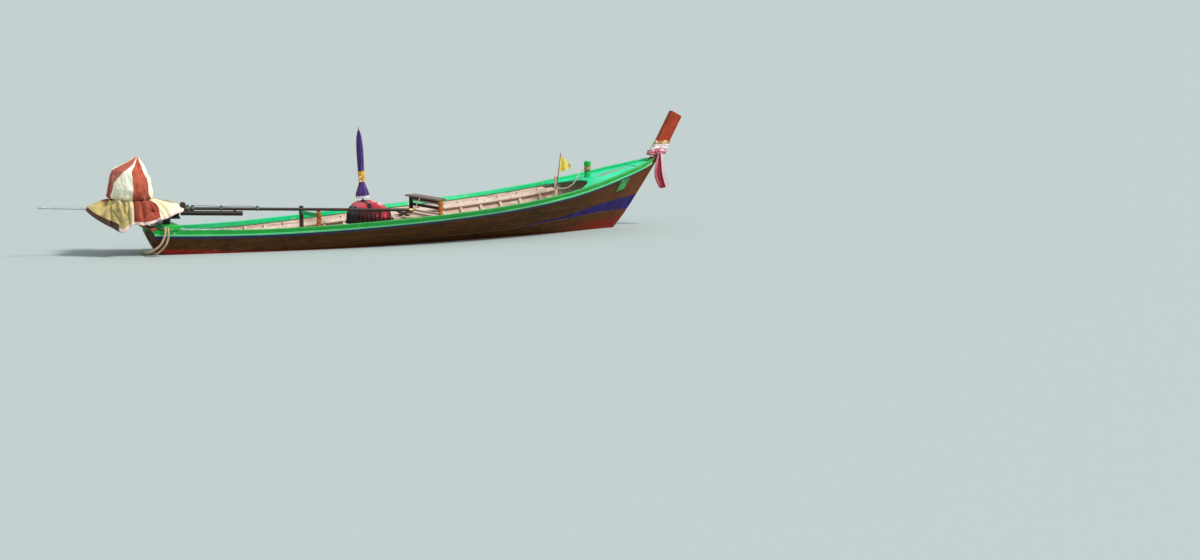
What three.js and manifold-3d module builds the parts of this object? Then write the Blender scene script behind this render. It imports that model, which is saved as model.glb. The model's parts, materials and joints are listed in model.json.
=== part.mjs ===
// A wooden longtail boat, afloat, in millimetres. +X is the bow, +Y is port, +Z is up.
// The origin is on the centreline amidships, at the height of the waterline.
import * as THREE from "three";
import * as BufferGeometryUtils from "three/addons/utils/BufferGeometryUtils.js";
import Module from "manifold-3d";

const wasm = await Module();
wasm.setup();

// Driving dimensions

const gap = 0.4; // clearance between pieces that touch
const plankThickness = 26;
const stationCount = 22;

// Hull lines. Each row is one section, from the transom to the stem.
// Columns: sheer x, sheer half breadth, sheer height, bilge x, bilge half breadth, bilge height, keel x, keel height
const hullSections = [
  [-4720, 372, 455, -4535, 215, 30, -4490, -70],
  [-4000, 478, 428, -3950, 325, -40, -3930, -160],
  [-3000, 690, 415, -3000, 470, -90, -3000, -235],
  [-2000, 905, 437, -2000, 590, -100, -2000, -280],
  [-1000, 1065, 479, -1000, 590, -110, -1000, -300],
  [0, 1145, 531, 0, 530, -115, 0, -305],
  [1000, 1155, 594, 1000, 440, -115, 1000, -305],
  [2000, 1090, 682, 2000, 350, -105, 2000, -295],
  [3000, 945, 812, 2950, 265, -85, 2930, -268],
  [3700, 770, 945, 3480, 190, -55, 3420, -232],
  [4400, 530, 1110, 3950, 118, 20, 3800, -172],
  [4900, 300, 1232, 4280, 84, 140, 4030, -105],
  [5175, 96, 1305, 4440, 66, 270, 4140, -55],
];
const keelHalfWidth = 60;
const sideBulge = 14; // how far the middle of a side swells out

const gunwale = {
  depth: 64, outside: 14, width: 112, clampDrop: 96, clampThickness: 24, aftEnd: 0.002, foreEnd: 0.984,
};
const rubRail = { depth: 26, thickness: 30 };
const sheerStrip = { depth: 58, thickness: 9 };
const keel = { depth: 78, bottomHalfWidth: 42 };
const stem = { depth: 95, noseHalfWidth: 40, postTopX: 5668, postTopZ: 2128, postDepth: 235,
  postHalfWidth: 66 };
const transomThickness = 45;

const ribs = { first: -3900, last: 3510, spacing: 390, width: 46, depth: 42, topClearance: 108, sections: 19 };
const stringer = { below: 190, depth: 60, thickness: 30 };
const floor = { height: -60, thickness: 24, aftX: -3700, foreX: 3300, margin: 18 };

const foredeck = { apexX: 3760, archDepth: 560, drop: 44, thickness: 26, foreX: 5040, margin: -8 };
const sternDeck = { aftX: -4640, foreX: -3960, drop: 112, thickness: 26, margin: 60 };
const sternBeam = { x: -4690, width: 95, depth: 44, halfLength: 410 };
const bearer = { x: -4380, width: 300, depth: 90, halfLength: 455 };

// Columns: name, middle x, width, height of the underside
const thwarts = [["thwart_aft", -130, 230, 396], ["thwart_middle", 500, 330, 396],
  ["thwart_fore", 3290, 180, 540]];
const thwartThickness = 30;
const sidePost = { width: 60 };
const crutch = {
  x: -1660, farY: 300, farShift: 120, plankHeight: 560, plankDepth: 62, plankThickness: 42, farTop: 675,
    seat: 5.5, fall: 0.06,
};
const box = { aftX: -900, foreX: -300, starboardY: -285, portY: 240, bottom: 40, lid: 560 };
const boxCover = { rise: 178, overhang: 12 };

const umbrella = {
  x: -650, y: 150, foot: 690, lean: 3.0, poleRadius: 14,
  // Columns: height above the foot, radius of the furled cloth
  furl: [[95, 40], [130, 132], [215, 112], [345, 62], [420, 47], [520, 56], [760, 66], [1000, 62], [1210, 46],
    [1320, 20]],
  tipLength: 62,
  tieLow: 385, tieHigh: 590, tieThickness: 9,
};

const bench = {
  portX: 400, portY: 500, starboardX: 600, starboardY: -550,
  seatHeight: 770, seatWidth: 230, seatThickness: 30, postWidth: 58, postInset: 0.03,
  // Columns: height of the middle, shift forward, width, depth
  rails: [[706, 0, 60, 30], [664, 30, 74, 24], [584, 44, 64, 46], [478, 30, 84, 24]],
};
const gangboard = { aftX: -235, foreX: 430, starboardY: -300, portY: -10, thickness: 22 };
const slats = { y: -200, aftX: -150, foreX: 150, high: 562, low: 425, width: 16, depth: 36 };
const leaningStick = { y: -50, footX: 212, topX: 376, top: 745, radius: 9 };

const bollard = {
  x: 3905, y: 230, radius: 62, height: 300, capRadius: 66, neckRadius: 48, neckLow: 105, neckHigh: 205,
};
const flagPost = { x: 3290, y: 330, width: 52, top: 985 };
const flagPole = { radius: 9, bottom: 760, top: 1425, lean: 0.13 };
const pennant = { low: 1110, high: 1385, length: 250, thickness: 4 };
const plate = { x: 4440, width: 235, height: 170, thickness: 5, t: 0.845 };

const prowWrap = { low: 1345, high: 1560, thickness: 28, clearance: 0.4 };
const garland = { thickness: 30, height: 56 };
const sash = { bottom: 740, aftX: 5215, foreX: 5385, thickness: 20, overlap: 60 };

// The motor turns on a post that leans aft, and its tail rests forward on the crutch.
const pivot = { x: -4360, rake: 5.0, swing: -6.5, tailDroop: 2.5 };
const yoke = { base: 24, cheekY: 190, cheekThickness: 18, trunnionHeight: 130, spigotRadius: 28 };
const socket = { radius: 58, height: 50 };
const engine = { aft: -775, fore: -395, halfWidth: 140, top: 470 };
const bed = {
  aft: -815, fore: 236, halfWidth: 150, bottom: -92, depth: 36, railWidth: 44, bearing: 136,
    bearingHalfWidth: 42,
};
const tail = { radius: 27, length: 4430, shaftLine: 75, collar: 150, collarRadius: 37, journal: 23 };
const exhaust = { radius: 42, start: 270, end: 1360, drop: 80 };
const tiller = { end: -2190, radius: 19, drop: 22, rise: 14 };
const propeller = { radius: 150, hubRadius: 34, hubLength: 90, chord: 92, pitch: 24, thickness: 9,
  shaftRadius: 14 };
const cover = {
  centreX: -505, thickness: 9, sides: 32, poleRadius: 16,
  // Columns: height above the shaft line, radius fore and aft, radius across, shift aft
  rings: [
    [897, 16, 16, 0], [789, 150, 150, 50], [664, 292, 292, 100], [489, 367, 367, 100], [339, 392, 392, 95],
    [239, 362, 362, 95], [169, 305, 290, 80], [112, 400, 320, 60], [60, 640, 392, 50],
  ],
  hemRadii: [850, 452, 45],
  // Columns: angle from the tail in degrees, height of the hem above the shaft line
  hem: [[0, 62], [12, 40], [24, -90], [45, -95], [70, -160], [95, -235], [122, -322], [146, -262], [162, -90],
    [172, 30], [180, 42]],
};

// Two ropes that hang from the starboard end of the bearer
const ropeSides = 8;
const sternRope = {
  radius: 20,
  // Columns of each route: x, y, z
  outer: [
    [-4466, -455.3, 500], [-4466, -490, 496], [-4468, -520, 472], [-4472, -536, 430], [-4478, -538, 340],
    [-4514, -522, 225], [-4572, -470, 130],
    [-4628, -400, 66], [-4664, -345, 34],
  ],
  inner: [
    [-4510, -455.3, 500], [-4512, -490, 496], [-4518, -520, 472], [-4528, -536, 430], [-4552, -538, 335],
    [-4622, -512, 205], [-4722, -445, 115],
    [-4782, -300, 72], [-4790, -120, 50], [-4778, 60, 34], [-4765, 220, 24],
  ],
};

// Finishes: colour, roughness, metalness
function finish(color, roughness, metalness = 0) {
  return new THREE.MeshStandardMaterial({ color, roughness, metalness });
}

const finishes = {
  varnish: () => finish(0x42240c, 0.35),
  timber: () => finish(0xd8bfa8, 0.8),
  deckPaint: () => finish(0x12e09a, 0.45),
  gunwalePaint: () => finish(0x20b040, 0.45),
  mintPaint: () => finish(0x5fe08a, 0.5),
  navyPaint: () => finish(0x1c1a50, 0.45),
  redPaint: () => finish(0x4a0808, 0.7),
  prowTimber: () => finish(0x96381c, 0.6),
  brownTimber: () => finish(0x9a4a18, 0.75),
  darkTimber: () => finish(0x2a1a12, 0.8),
  steel: () => finish(0x4a3a30, 0.5, 0.8),
  bronze: () => finish(0x9a7a40, 0.35, 1),
  tube: () => finish(0xd0d0d0, 0.35, 0.9),
  purpleCloth: () => finish(0x3a1460, 0.8),
  yellowCloth: () => finish(0xf0c820, 0.8),
  redCloth: () => finish(0xc02030, 0.8),
  creamCloth: () => finish(0xfff0d0, 0.85),
  whiteCloth: () => finish(0xf0e0e0, 0.9),
  rope: () => finish(0xc8a878, 0.9),
};

// Small helpers

const radians = THREE.MathUtils.degToRad;
const vec = (x, y, z) => new THREE.Vector3(x, y, z);

function outward(geometry) {
  const p = geometry.getAttribute("position");
  const index = geometry.getIndex();
  const a = vec(0, 0, 0);
  const b = vec(0, 0, 0);
  const c = vec(0, 0, 0);
  let volume = 0;
  for (let i = 0; i < index.count; i += 3) {
    a.fromBufferAttribute(p, index.getX(i));
    b.fromBufferAttribute(p, index.getX(i + 1));
    c.fromBufferAttribute(p, index.getX(i + 2));
    volume += a.dot(b.cross(c));
  }
  if (volume < 0) {
    const order = index.array;
    for (let i = 0; i < order.length; i += 3) [order[i], order[i + 1]] = [order[i + 1], order[i]];
  }
  return geometry;
}

function capFaces(ring) {
  const normal = vec(0, 0, 0);
  ring.forEach((p, i) => normal.add(p.clone().cross(ring[(i + 1) % ring.length])));
  normal.normalize();
  const away = Math.abs(normal.z) < 0.9 ? vec(0, 0, 1) : vec(1, 0, 0);
  const across = away.cross(normal).normalize();
  const up = normal.clone().cross(across);
  const flat = ring.map((p) => new THREE.Vector2(p.dot(across), p.dot(up)));
  return THREE.ShapeUtils.triangulateShape(flat, []);
}

// Closed body through rings of points that all have the same count
function loft(rings) {
  const count = rings[0].length;
  const positions = rings.flat().flatMap((p) => [p.x, p.y, p.z]);
  const faces = [];
  for (let i = 0; i + 1 < rings.length; i += 1) {
    for (let j = 0; j < count; j += 1) {
      const k = (j + 1) % count;
      const [a, b, c, d] = [i * count + j, i * count + k, (i + 1) * count + k, (i + 1) * count + j];
      faces.push(a, b, c, a, c, d);
    }
  }
  const last = (rings.length - 1) * count;
  capFaces(rings[0]).forEach(([a, b, c]) => faces.push(a, c, b));
  capFaces(rings[rings.length - 1]).forEach(([a, b, c]) => faces.push(last + a, last + b, last + c));
  const geometry = new THREE.BufferGeometry();
  geometry.setAttribute("position", new THREE.Float32BufferAttribute(positions, 3));
  geometry.setIndex(faces);
  return outward(geometry);
}

function merged(geometry) {
  const bare = geometry.clone();
  bare.deleteAttribute("normal");
  bare.deleteAttribute("uv");
  return BufferGeometryUtils.mergeVertices(bare, 0.001);
}

function toSolid(geometry) {
  const bare = merged(geometry);
  return new wasm.Manifold(new wasm.Mesh({
    numProp: 3,
    vertProperties: new Float32Array(bare.getAttribute("position").array),
    triVerts: new Uint32Array(bare.getIndex().array),
  }));
}

function fromSolid(solid) {
  const mesh = solid.getMesh();
  const geometry = new THREE.BufferGeometry();
  geometry.setAttribute("position", new THREE.BufferAttribute(new Float32Array(mesh.vertProperties), 3));
  geometry.setIndex(new THREE.BufferAttribute(new Uint32Array(mesh.triVerts), 1));
  return geometry;
}

const union = (geometries) => fromSolid(geometries.map(toSolid).reduce((a, b) => a.add(b)));
const cut = (geometry,
  tools) => fromSolid(tools.map(toSolid).reduce((a, b) => a.subtract(b), toSolid(geometry)));

// A piece cut back so that it clears its neighbours by the gap on every side
function fit(geometry, neighbours) {
  const shifts = [[0, 0, 0], [gap, 0, 0], [-gap, 0, 0], [0, gap, 0], [0, -gap, 0], [0, 0, gap], [0, 0, -gap]];
  let solid = toSolid(geometry);
  for (const neighbour of neighbours.map(toSolid)) {
    for (const shift of shifts) solid = solid.subtract(neighbour.translate(shift));
  }
  const pieces = solid.decompose();
  return fromSolid(pieces.reduce((a, b) => (a.volume() > b.volume() ? a : b)));
}

// Box between two corners
function block(low, high) {
  const size = high.map((v, i) => v - low[i]);
  return new THREE.BoxGeometry(...size).translate(low[0] + size[0] / 2, low[1] + size[1] / 2,
    low[2] + size[2] / 2);
}

// Square bar between two points: width lies level, depth stands up
function bar(from, to, width, depth = width) {
  const along = to.clone().sub(from);
  const length = along.length();
  along.normalize();
  const side = Math.abs(along.z) < 0.95 ? along.clone().cross(vec(0, 0, 1)).normalize() : vec(0, 1,
    0).cross(along).normalize();
  const up = side.clone().cross(along).normalize();
  const turn = new THREE.Matrix4().makeBasis(side, up, along.clone().negate());
  const middle = from.clone().add(to).multiplyScalar(0.5);
  return new THREE.BoxGeometry(width, depth, length).applyMatrix4(turn).translate(middle.x, middle.y, middle.z);
}

// Round rod between two points
function rod(from, to, radius, sides = 12, endRadius = radius) {
  const along = to.clone().sub(from);
  const geometry = new THREE.CylinderGeometry(endRadius, radius, along.length(), sides);
  const turn = new THREE.Quaternion().setFromUnitVectors(vec(0, 1, 0), along.clone().normalize());
  const middle = from.clone().add(to).multiplyScalar(0.5);
  return geometry.applyQuaternion(turn).translate(middle.x, middle.y, middle.z);
}

function ropeAlong(route, radius) {
  const path = new THREE.CatmullRomCurve3(route.map((p) => vec(...p)), false, "centripetal");
  const section = new THREE.Shape();
  for (let i = 0; i < ropeSides; i += 1) {
    const angle = (2 * Math.PI * i) / ropeSides;
    const [x, y] = [radius * Math.cos(angle), radius * Math.sin(angle)];
    if (i === 0) section.moveTo(x, y);
    else section.lineTo(x, y);
  }
  const steps = Math.round(path.getLength() / (2.5 * radius));
  return new THREE.ExtrudeGeometry(section, { extrudePath: path, steps, bevelEnabled: false });
}

// Hull surface: along runs from 0 at the transom to 1 at the stem, up from 0 at the keel to 1 at the sheer

const line = (pick) => new THREE.CatmullRomCurve3(hullSections.map(pick), false, "centripetal");
const sheerLine = line(([x, y, z]) => vec(x, y, z));
const bilgeLine = line(([, , , x, y, z]) => vec(x, y, z));
const keelLine = line(([, , , , , , x, z]) => vec(x, keelHalfWidth, z));

function surface(along, up) {
  const s = THREE.MathUtils.clamp(along, 0, 1);
  const [k, b, g] = [keelLine.getPoint(s), bilgeLine.getPoint(s), sheerLine.getPoint(s)];
  const middle = b.clone().lerp(g, 0.5).add(vec(0, sideBulge, -sideBulge));
  const section = new THREE.CatmullRomCurve3([k, b, middle, g], false, "centripetal");
  return section.getPoint(up);
}

// Point on the skin, moved inward by inset, on the starboard (-1) or port (1) side
function skin(along, up, inset, side = 1) {
  const [step, rise] = [0.004, 0.06];
  const base = Math.min(Math.max(along, step), 1 - step);
  const level = Math.min(Math.max(up, rise), 1 - rise);
  const lengthwise = surface(base + step, level).sub(surface(base - step, level));
  const upward = surface(base, level + rise).sub(surface(base, level - rise));
  const inward = lengthwise.cross(upward).normalize();
  const p = surface(along, up).addScaledVector(inward, inset * (inward.y < 0 ? 1 : -1));
  return vec(p.x, Math.max(p.y, 4) * side, p.z);
}

// Level on the skin that lies drop below the sheer
function levelBelow(along, drop) {
  const target = surface(along, 1).z - drop;
  let [low, high] = [0, 1];
  for (let i = 0; i < 24; i += 1) {
    const middle = (low + high) / 2;
    if (surface(along, middle).z < target) low = middle;
    else high = middle;
  }
  return high;
}

// Place along the hull where the sheer has a given x
function alongAt(x) {
  let [low, high] = [0, 1];
  for (let i = 0; i < 24; i += 1) {
    const middle = (low + high) / 2;
    if (sheerLine.getPoint(middle).x < x) low = middle;
    else high = middle;
  }
  return (low + high) / 2;
}

function stations(from = 0, to = 1, count = stationCount) {
  return Array.from({ length: count + 1 }, (_, i) => from + ((to - from) * i) / count);
}

const sheerZ = (x) => sheerLine.getPoint(alongAt(x)).z;
const sheerY = (x) => sheerLine.getPoint(alongAt(x)).y;

// Hull pieces

function planking(lowLevel, highLevel, rows, side, insets) {
  const levels = (s) => Array.from({ length: rows + 1 },
    (_, i) => lowLevel(s) + ((highLevel(s) - lowLevel(s)) * i) / rows);
  return loft(stations().map((s) => {
    const going = levels(s).map((t) => skin(s, t, insets[0], side));
    const coming = levels(s).map((t) => skin(s, t, insets[1], side)).reverse();
    return going.concat(coming);
  }));
}

const bilgeLevel = 1 / 3;
const seam = 0.0003; // half of the open seam at the bilge, as a share of the section
const seamAt = (grow) => (grow > 0 ? -seam : seam);
const bottomPlanking = (side, grow = 0) => planking(() => 0, () => bilgeLevel - seamAt(grow), 3, side,
  [-grow, plankThickness + grow]);
const sideTop = (grow) => (s) => levelBelow(s, gunwale.depth) - (grow > 0 ? 0 : seam);
const sidePlanking = (side, grow = 0) => planking(() => bilgeLevel + seamAt(grow), sideTop(grow), 4, side,
  [plankThickness + grow, -grow]);

function gunwaleRail(side, grow = 0) {
  return loft(stations(gunwale.aftEnd, gunwale.foreEnd).map((s) => {
    const under = levelBelow(s, gunwale.depth) + 0.0003;
    const clamp = levelBelow(s, gunwale.clampDrop + grow);
    const top = skin(s, 1, -gunwale.outside, side);
    const reach = Math.min(gunwale.width, Math.abs(top.y) - 3) + grow;
    const inside = plankThickness + gap;
    const thick = Math.min(gunwale.clampThickness, Math.max(4, reach - 70));
    return [
      top,
      skin(s, under, -gunwale.outside, side),
      skin(s, under, inside, side),
      skin(s, clamp, inside, side),
      skin(s, clamp, inside + thick + grow, side),
      vec(top.x, side * (Math.abs(top.y) - reach), top.z),
    ].reverse();
  }));
}

function outsideStrip(topDrop, depth, thickness, side) {
  return loft(stations(gunwale.aftEnd, gunwale.foreEnd).map((s) => {
    const [high, low] = [levelBelow(s, topDrop) - 0.0011, levelBelow(s, topDrop + depth)];
    return [skin(s, high, -gap, side), skin(s, high, -thickness, side), skin(s, low, -thickness, side),
      skin(s, low, -gap, side)];
  }));
}

function keelTimber(grow = 0) {
  return union([-1, 1].map((side) => loft(stations().map((s) => {
    const outer = skin(s, 0, 0, side);
    const inner = skin(s, 0, plankThickness, side);
    const edge = side * (2 * gap - grow);
    return [
      vec(outer.x, 0, outer.z - keel.depth),
      vec(outer.x, side * keel.bottomHalfWidth, outer.z - keel.depth),
      vec(outer.x, outer.y - edge, outer.z),
      vec(inner.x, inner.y - edge, inner.z + grow),
      vec(inner.x, 0, inner.z + grow),
    ].reverse();
  }))));
}

function stemPost() {
  const top = sideTop(0)(1);
  const bottomLevels = [0, 1, 2, 3].map((i) => (bilgeLevel * i) / 3);
  const levels = bottomLevels.concat([1, 2, 3, 4].map((i) => bilgeLevel + ((top - bilgeLevel) * i) / 4), 1);
  const rings = levels.map((t) => {
    const outer = skin(1, t, 0);
    const inner = skin(1, t, plankThickness);
    const behind = 1;
    const half = [
      vec(inner.x + behind, Math.max(inner.y - gap, 12), inner.z),
      vec(outer.x + behind, outer.y, outer.z),
      vec(outer.x + stem.depth, stem.noseHalfWidth, outer.z - 20),
    ];
    return half.concat(half.map((p) => vec(p.x, -p.y, p.z)).reverse());
  });
  return loft(rings);
}

const prowFoot = skin(1, 1, 0).add(vec(45, 0, 8)).setY(0);
const prowTop = vec(stem.postTopX, 0, stem.postTopZ);
const prowPost = () => bar(prowFoot, prowTop, 2 * stem.postHalfWidth, stem.postDepth);

// Inner hull pieces, trimmed to the inner face of the planking

// Points up one side of a section, on the same rows as the planking, ending topDrop below the sheer
function sectionRow(s, inset, topDrop, side) {
  const top = levelBelow(s, gunwale.depth) - 0.0003;
  const bottomLevels = [0, 1, 2, 3].map((i) => (bilgeLevel * i) / 3);
  const sideLevels = [1, 2, 3, 4].map((i) => bilgeLevel + ((top - bilgeLevel) * i) / 4);
  const row = bottomLevels.concat(sideLevels).map((t) => skin(s, t, inset, side));
  const [below, last] = row.slice(-2);
  const height = surface(s, 1).z - topDrop;
  row[row.length - 1] = below.clone().lerp(last, (height - below.z) / (last.z - below.z));
  return row;
}

// The space inside the hull, inset from the skin
function hullSpace(inset, topDrop, sections = stationCount + 1) {
  const ring = (s) => sectionRow(s, inset, topDrop, -1).concat(sectionRow(s, inset, topDrop, 1).reverse());
  return loft(stations().slice(0, sections).map(ring));
}

const insideFace = plankThickness + gap;
const planksAround = [-1, 1].flatMap((side) => [bottomPlanking(side, gap), sidePlanking(side, gap)]);
const hullWithGap = planksAround.concat(keelTimber(2 * gap));
const planksWithGap = hullWithGap.map(toSolid);
const roughSpace = (topDrop) => toSolid(hullSpace(plankThickness - 6, topDrop));
const clearOfPlanks = (solid) => planksWithGap.reduce((all, planks) => all.subtract(planks), solid);
function trimmed(geometry, topDrop) {
  return fromSolid(clearOfPlanks(toSolid(geometry).intersect(roughSpace(topDrop))));
}


function transomBoard() {
  const rake = (hullSections[0][3] - hullSections[0][0]) / (hullSections[0][2] - hullSections[0][5]);
  const foot = -150;
  const profile = (z) => hullSections[0][0] + rake * (hullSections[0][2] - z) + 25;
  const top = hullSections[0][2];
  const corners = [
    [profile(foot), foot], [profile(foot) + transomThickness, foot],
    [profile(top) + transomThickness, top], [profile(top), top],
  ];
  return trimmed(loft([-500, 500].map((y) => corners.map(([x, z]) => vec(x, y, z)))), gunwale.clampDrop + 4);
}

// Ribs down one side, joined by the stringer that is nailed across them
function ribsAndStringer(side) {
  const count = Math.round((ribs.last - ribs.first) / ribs.spacing);
  const inner = hullSpace(insideFace + ribs.depth, -50, ribs.sections);
  const lining = clearOfPlanks(roughSpace(ribs.topClearance).subtract(toSolid(inner)));
  const pieces = Array.from({ length: count + 1 }, (_, i) => {
    const x = ribs.first + i * ribs.spacing;
    const half = ribs.width / 2;
    const reach = [side * 60, side * 1400].sort((m, n) => m - n);
    const slice = block([x - half, reach[0], floor.height + floor.thickness + 1], [x + half, reach[1], 1500]);
    return lining.intersect(toSolid(slice));
  });
  const band = loft(stations(alongAt(ribs.first - 60), alongAt(ribs.last + 60)).map((s) => {
    const [high, low] = [levelBelow(s, stringer.below), levelBelow(s, stringer.below + stringer.depth)];
    const [near, far] = [insideFace + ribs.depth - 12, insideFace + ribs.depth + stringer.thickness];
    return [skin(s, high, near, side), skin(s, high, far, side), skin(s, low, far, side),
      skin(s, low, near, side)];
  }));
  return fromSolid(pieces.reduce((all, piece) => all.add(piece), toSolid(band)));
}

const acrossHull = 1200; // further out than the planking anywhere
const underClamp = gunwale.clampDrop + 4;
const floorBox = block([floor.aftX, -acrossHull, floor.height], [floor.foreX, acrossHull, floor.height + floor.thickness]);
const floorBoards = () => trimmed(floorBox, underClamp);

// Deck between the gunwales. Its aft edge bends forward by arch at the centreline.
function deckPanel(aftX, foreX, arch, drop, thickness, margin) {
  const across = 12;
  const rows = 10;
  const rings = [];
  const edge = (x) => Math.abs(sheerY(x)) + gunwale.outside;
  const inner = (x) => edge(x) - Math.min(gunwale.width, edge(x) - 3) - margin;
  for (let i = 0; i <= across; i += 1) {
    const v = (2 * i) / across - 1;
    const start = aftX - arch * v * v;
    const ends = [];
    for (let j = 0; j <= rows; j += 1) {
      const x = start + ((foreX - start) * j) / rows;
      ends.push(vec(x, v * Math.max(inner(x), 6), sheerZ(x) - drop + 16 * (1 - v * v)));
    }
    rings.push(ends.concat(ends.map((p) => vec(p.x, p.y, p.z - thickness)).reverse()));
  }
  return loft(rings);
}

// Deck panel cut to lie between the gunwales
const betweenGunwales = (geometry) => cut(geometry, [gunwaleRail(-1, gap), gunwaleRail(1, gap)]);

// Height at which a timber of this width lies on the gunwales
const railTop = (x, width) => {
  const ends = [-1, 1].map((k) => Math.max(alongAt(x + (k * width) / 2), gunwale.aftEnd));
  return Math.max(...ends.map((s) => skin(s, 1, -gunwale.outside).z)) + gap;
};

// Timber across the gunwales
const crossTimber = (x, width, depth, halfLength) => {
  const low = railTop(x, width);
  return block([x - width / 2, -halfLength, low], [x + width / 2, halfLength, low + depth]);
};

// Plank across the inside of the hull at a given height
function plankAcross(x, width, height, thickness) {
  const plank = block([x - width / 2, -acrossHull, height], [x + width / 2, acrossHull, height + thickness]);
  return trimmed(plank, underClamp);
}


const boat = new THREE.Group();
boat.name = "longtail_boat";

function add(name, geometry, material, parent = boat) {
  const mesh = new THREE.Mesh(geometry, finishes[material]());
  mesh.name = name;
  parent.add(mesh);
  return mesh;
}

for (const [name, side] of [["starboard", -1], ["port", 1]]) {
  add(`bottom_planking_${name}`, bottomPlanking(side), "redPaint");
  add(`side_planking_${name}`, sidePlanking(side), "varnish");
  const fitted = (geometry) => fromSolid(clearOfPlanks(toSolid(geometry)));
  add(`gunwale_${name}`, fitted(gunwaleRail(side)), "gunwalePaint");
  add(`rub_rail_${name}`, fitted(outsideStrip(gunwale.depth, rubRail.depth, rubRail.thickness, side)),
    "mintPaint");
  const belowRail = gunwale.depth + rubRail.depth + 1;
  add(`sheer_strip_${name}`, fitted(outsideStrip(belowRail, sheerStrip.depth, sheerStrip.thickness, side)),
    "navyPaint");
  add(`ribs_${name}`, ribsAndStringer(side), "timber");
}
add("keel", keelTimber(), "redPaint");
const skins = [-1, 1].flatMap((side) => [bottomPlanking(side), sidePlanking(side)]);
add("stem", fit(stemPost(), skins.concat(keelTimber())), "varnish");
add("prow_post", prowPost(), "prowTimber");
const transom = transomBoard();
add("transom", transom, "varnish");
add("floorboards", floorBoards(), "timber");
const foredeckPanel = deckPanel(foredeck.apexX, foredeck.foreX, foredeck.archDepth, foredeck.drop,
  foredeck.thickness, foredeck.margin);
const foredeckOnly = betweenGunwales(foredeckPanel);
add("foredeck", foredeckOnly, "deckPaint");
const sternDeckPanel = deckPanel(sternDeck.foreX, sternDeck.aftX, 0, sternDeck.drop, sternDeck.thickness,
  sternDeck.margin);
add("stern_deck", fit(sternDeckPanel, [transom]), "deckPaint");
add("stern_beam", crossTimber(sternBeam.x, sternBeam.width, sternBeam.depth, sternBeam.halfLength),
  "brownTimber");
const bearerTimber = crossTimber(bearer.x, bearer.width, bearer.depth, bearer.halfLength);
add("engine_bearer", bearerTimber, "gunwalePaint");
const ribsBothSides = [-1, 1].map(ribsAndStringer);
for (const [name, x, width, height] of thwarts) {
  add(name, fit(plankAcross(x, width, height, thwartThickness), ribsBothSides), "timber");
}

// Deck gear forward

const deckZ = (x, y) => {
  const half = sheerY(x) - gunwale.width;
  return sheerZ(x) - foredeck.drop + 16 * (1 - (y / half) ** 2);
};

function bollardPost() {
  const b = bollard;
  const profile = [
    [0, -12], [b.radius, -12], [b.radius, b.neckLow], [b.neckRadius, b.neckLow + 12],
    [b.neckRadius, b.neckHigh],
    [b.capRadius, b.neckHigh + 10], [b.capRadius, b.height - 18], [b.capRadius - 16, b.height], [0, b.height],
  ].map(([x, y]) => new THREE.Vector2(x, y));
  return new THREE.LatheGeometry(profile, 20).rotateX(Math.PI / 2);
}

const bollardFoot = deckZ(bollard.x, bollard.y);
const bollardOnDeck = bollardPost().translate(bollard.x, bollard.y, bollardFoot);
add("bollard", fit(bollardOnDeck, [foredeckOnly]), "brownTimber");

function ringAround(innerRadius, outerRadius, low, high, sides = 20) {
  const profile = [[innerRadius, low], [outerRadius, low], [outerRadius, high], [innerRadius, high],
    [innerRadius, low]];
  return new THREE.LatheGeometry(profile.map(([x, y]) => new THREE.Vector2(x, y)), sides).rotateX(Math.PI / 2);
}

const turnsHere = ringAround(bollard.neckRadius + gap, bollard.capRadius + 4, bollard.neckLow + 16,
  bollard.neckHigh - 4);
const ropeTurns = turnsHere.translate(bollard.x, bollard.y, bollardFoot);
add("bollard_rope", ropeTurns, "rope");

function flagPostTimber() {
  const half = flagPost.width / 2;
  const foot = thwarts[2][3] + thwartThickness + gap;
  return block([flagPost.x - half, flagPost.y - half, foot],
    [flagPost.x + half, flagPost.y + half, flagPost.top]);
}

const poleFoot = vec(flagPost.x, flagPost.y - flagPost.width / 2 - flagPole.radius - gap, flagPole.bottom);
const poleTop = vec(flagPost.x + (flagPole.top - flagPole.bottom) * flagPole.lean, poleFoot.y, flagPole.top);
const onPole = (z) => poleFoot.clone().lerp(poleTop, (z - flagPole.bottom) / (flagPole.top - flagPole.bottom));

function pennantCloth() {
  const [low, high] = [onPole(pennant.low), onPole(pennant.high)];
  const start = flagPole.radius + 1;
  const tip = vec(onPole((pennant.low + pennant.high) / 2).x + pennant.length, poleFoot.y,
    (pennant.low + pennant.high) / 2 + 10);
  const outline = [low.add(vec(start, 0, 0)), tip, high.add(vec(start, 0, 0))];
  return loft([-1, 1].map((k) => outline.map((p) => p.clone().add(vec(0, (k * pennant.thickness) / 2, 0)))));
}

add("flag_post", flagPostTimber(), "timber");
add("flag_pole", rod(poleFoot, poleTop, flagPole.radius, 8), "darkTimber");
add("pennant", pennantCloth(), "yellowCloth");

// Blank name plate on each bow
for (const [name, side] of [["starboard", -1], ["port", 1]]) {
  const reach = plate.width / 2;
  const rings = stations(alongAt(plate.x - reach), alongAt(plate.x + reach), 3).map((s) => {
    const rise = plate.height / 2 / 1000;
    const [low, high] = [plate.t - rise * 0.75, plate.t + rise * 0.75];
    return [skin(s, low, 4, side), skin(s, low, -plate.thickness, side), skin(s, high, -plate.thickness, side),
      skin(s, high, 4, side)];
  });
  add(`plate_${name}`, fit(loft(rings), [sidePlanking(side)]), "gunwalePaint");
}

// Cloths tied to the prow

const prowCentre = (z) => prowFoot.clone().lerp(prowTop, (z - prowFoot.z) / (prowTop.z - prowFoot.z)).x;

const prowHalfDepth = (stem.postDepth / 2) * (prowFoot.distanceTo(prowTop) / (prowTop.z - prowFoot.z)); // level section

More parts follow.
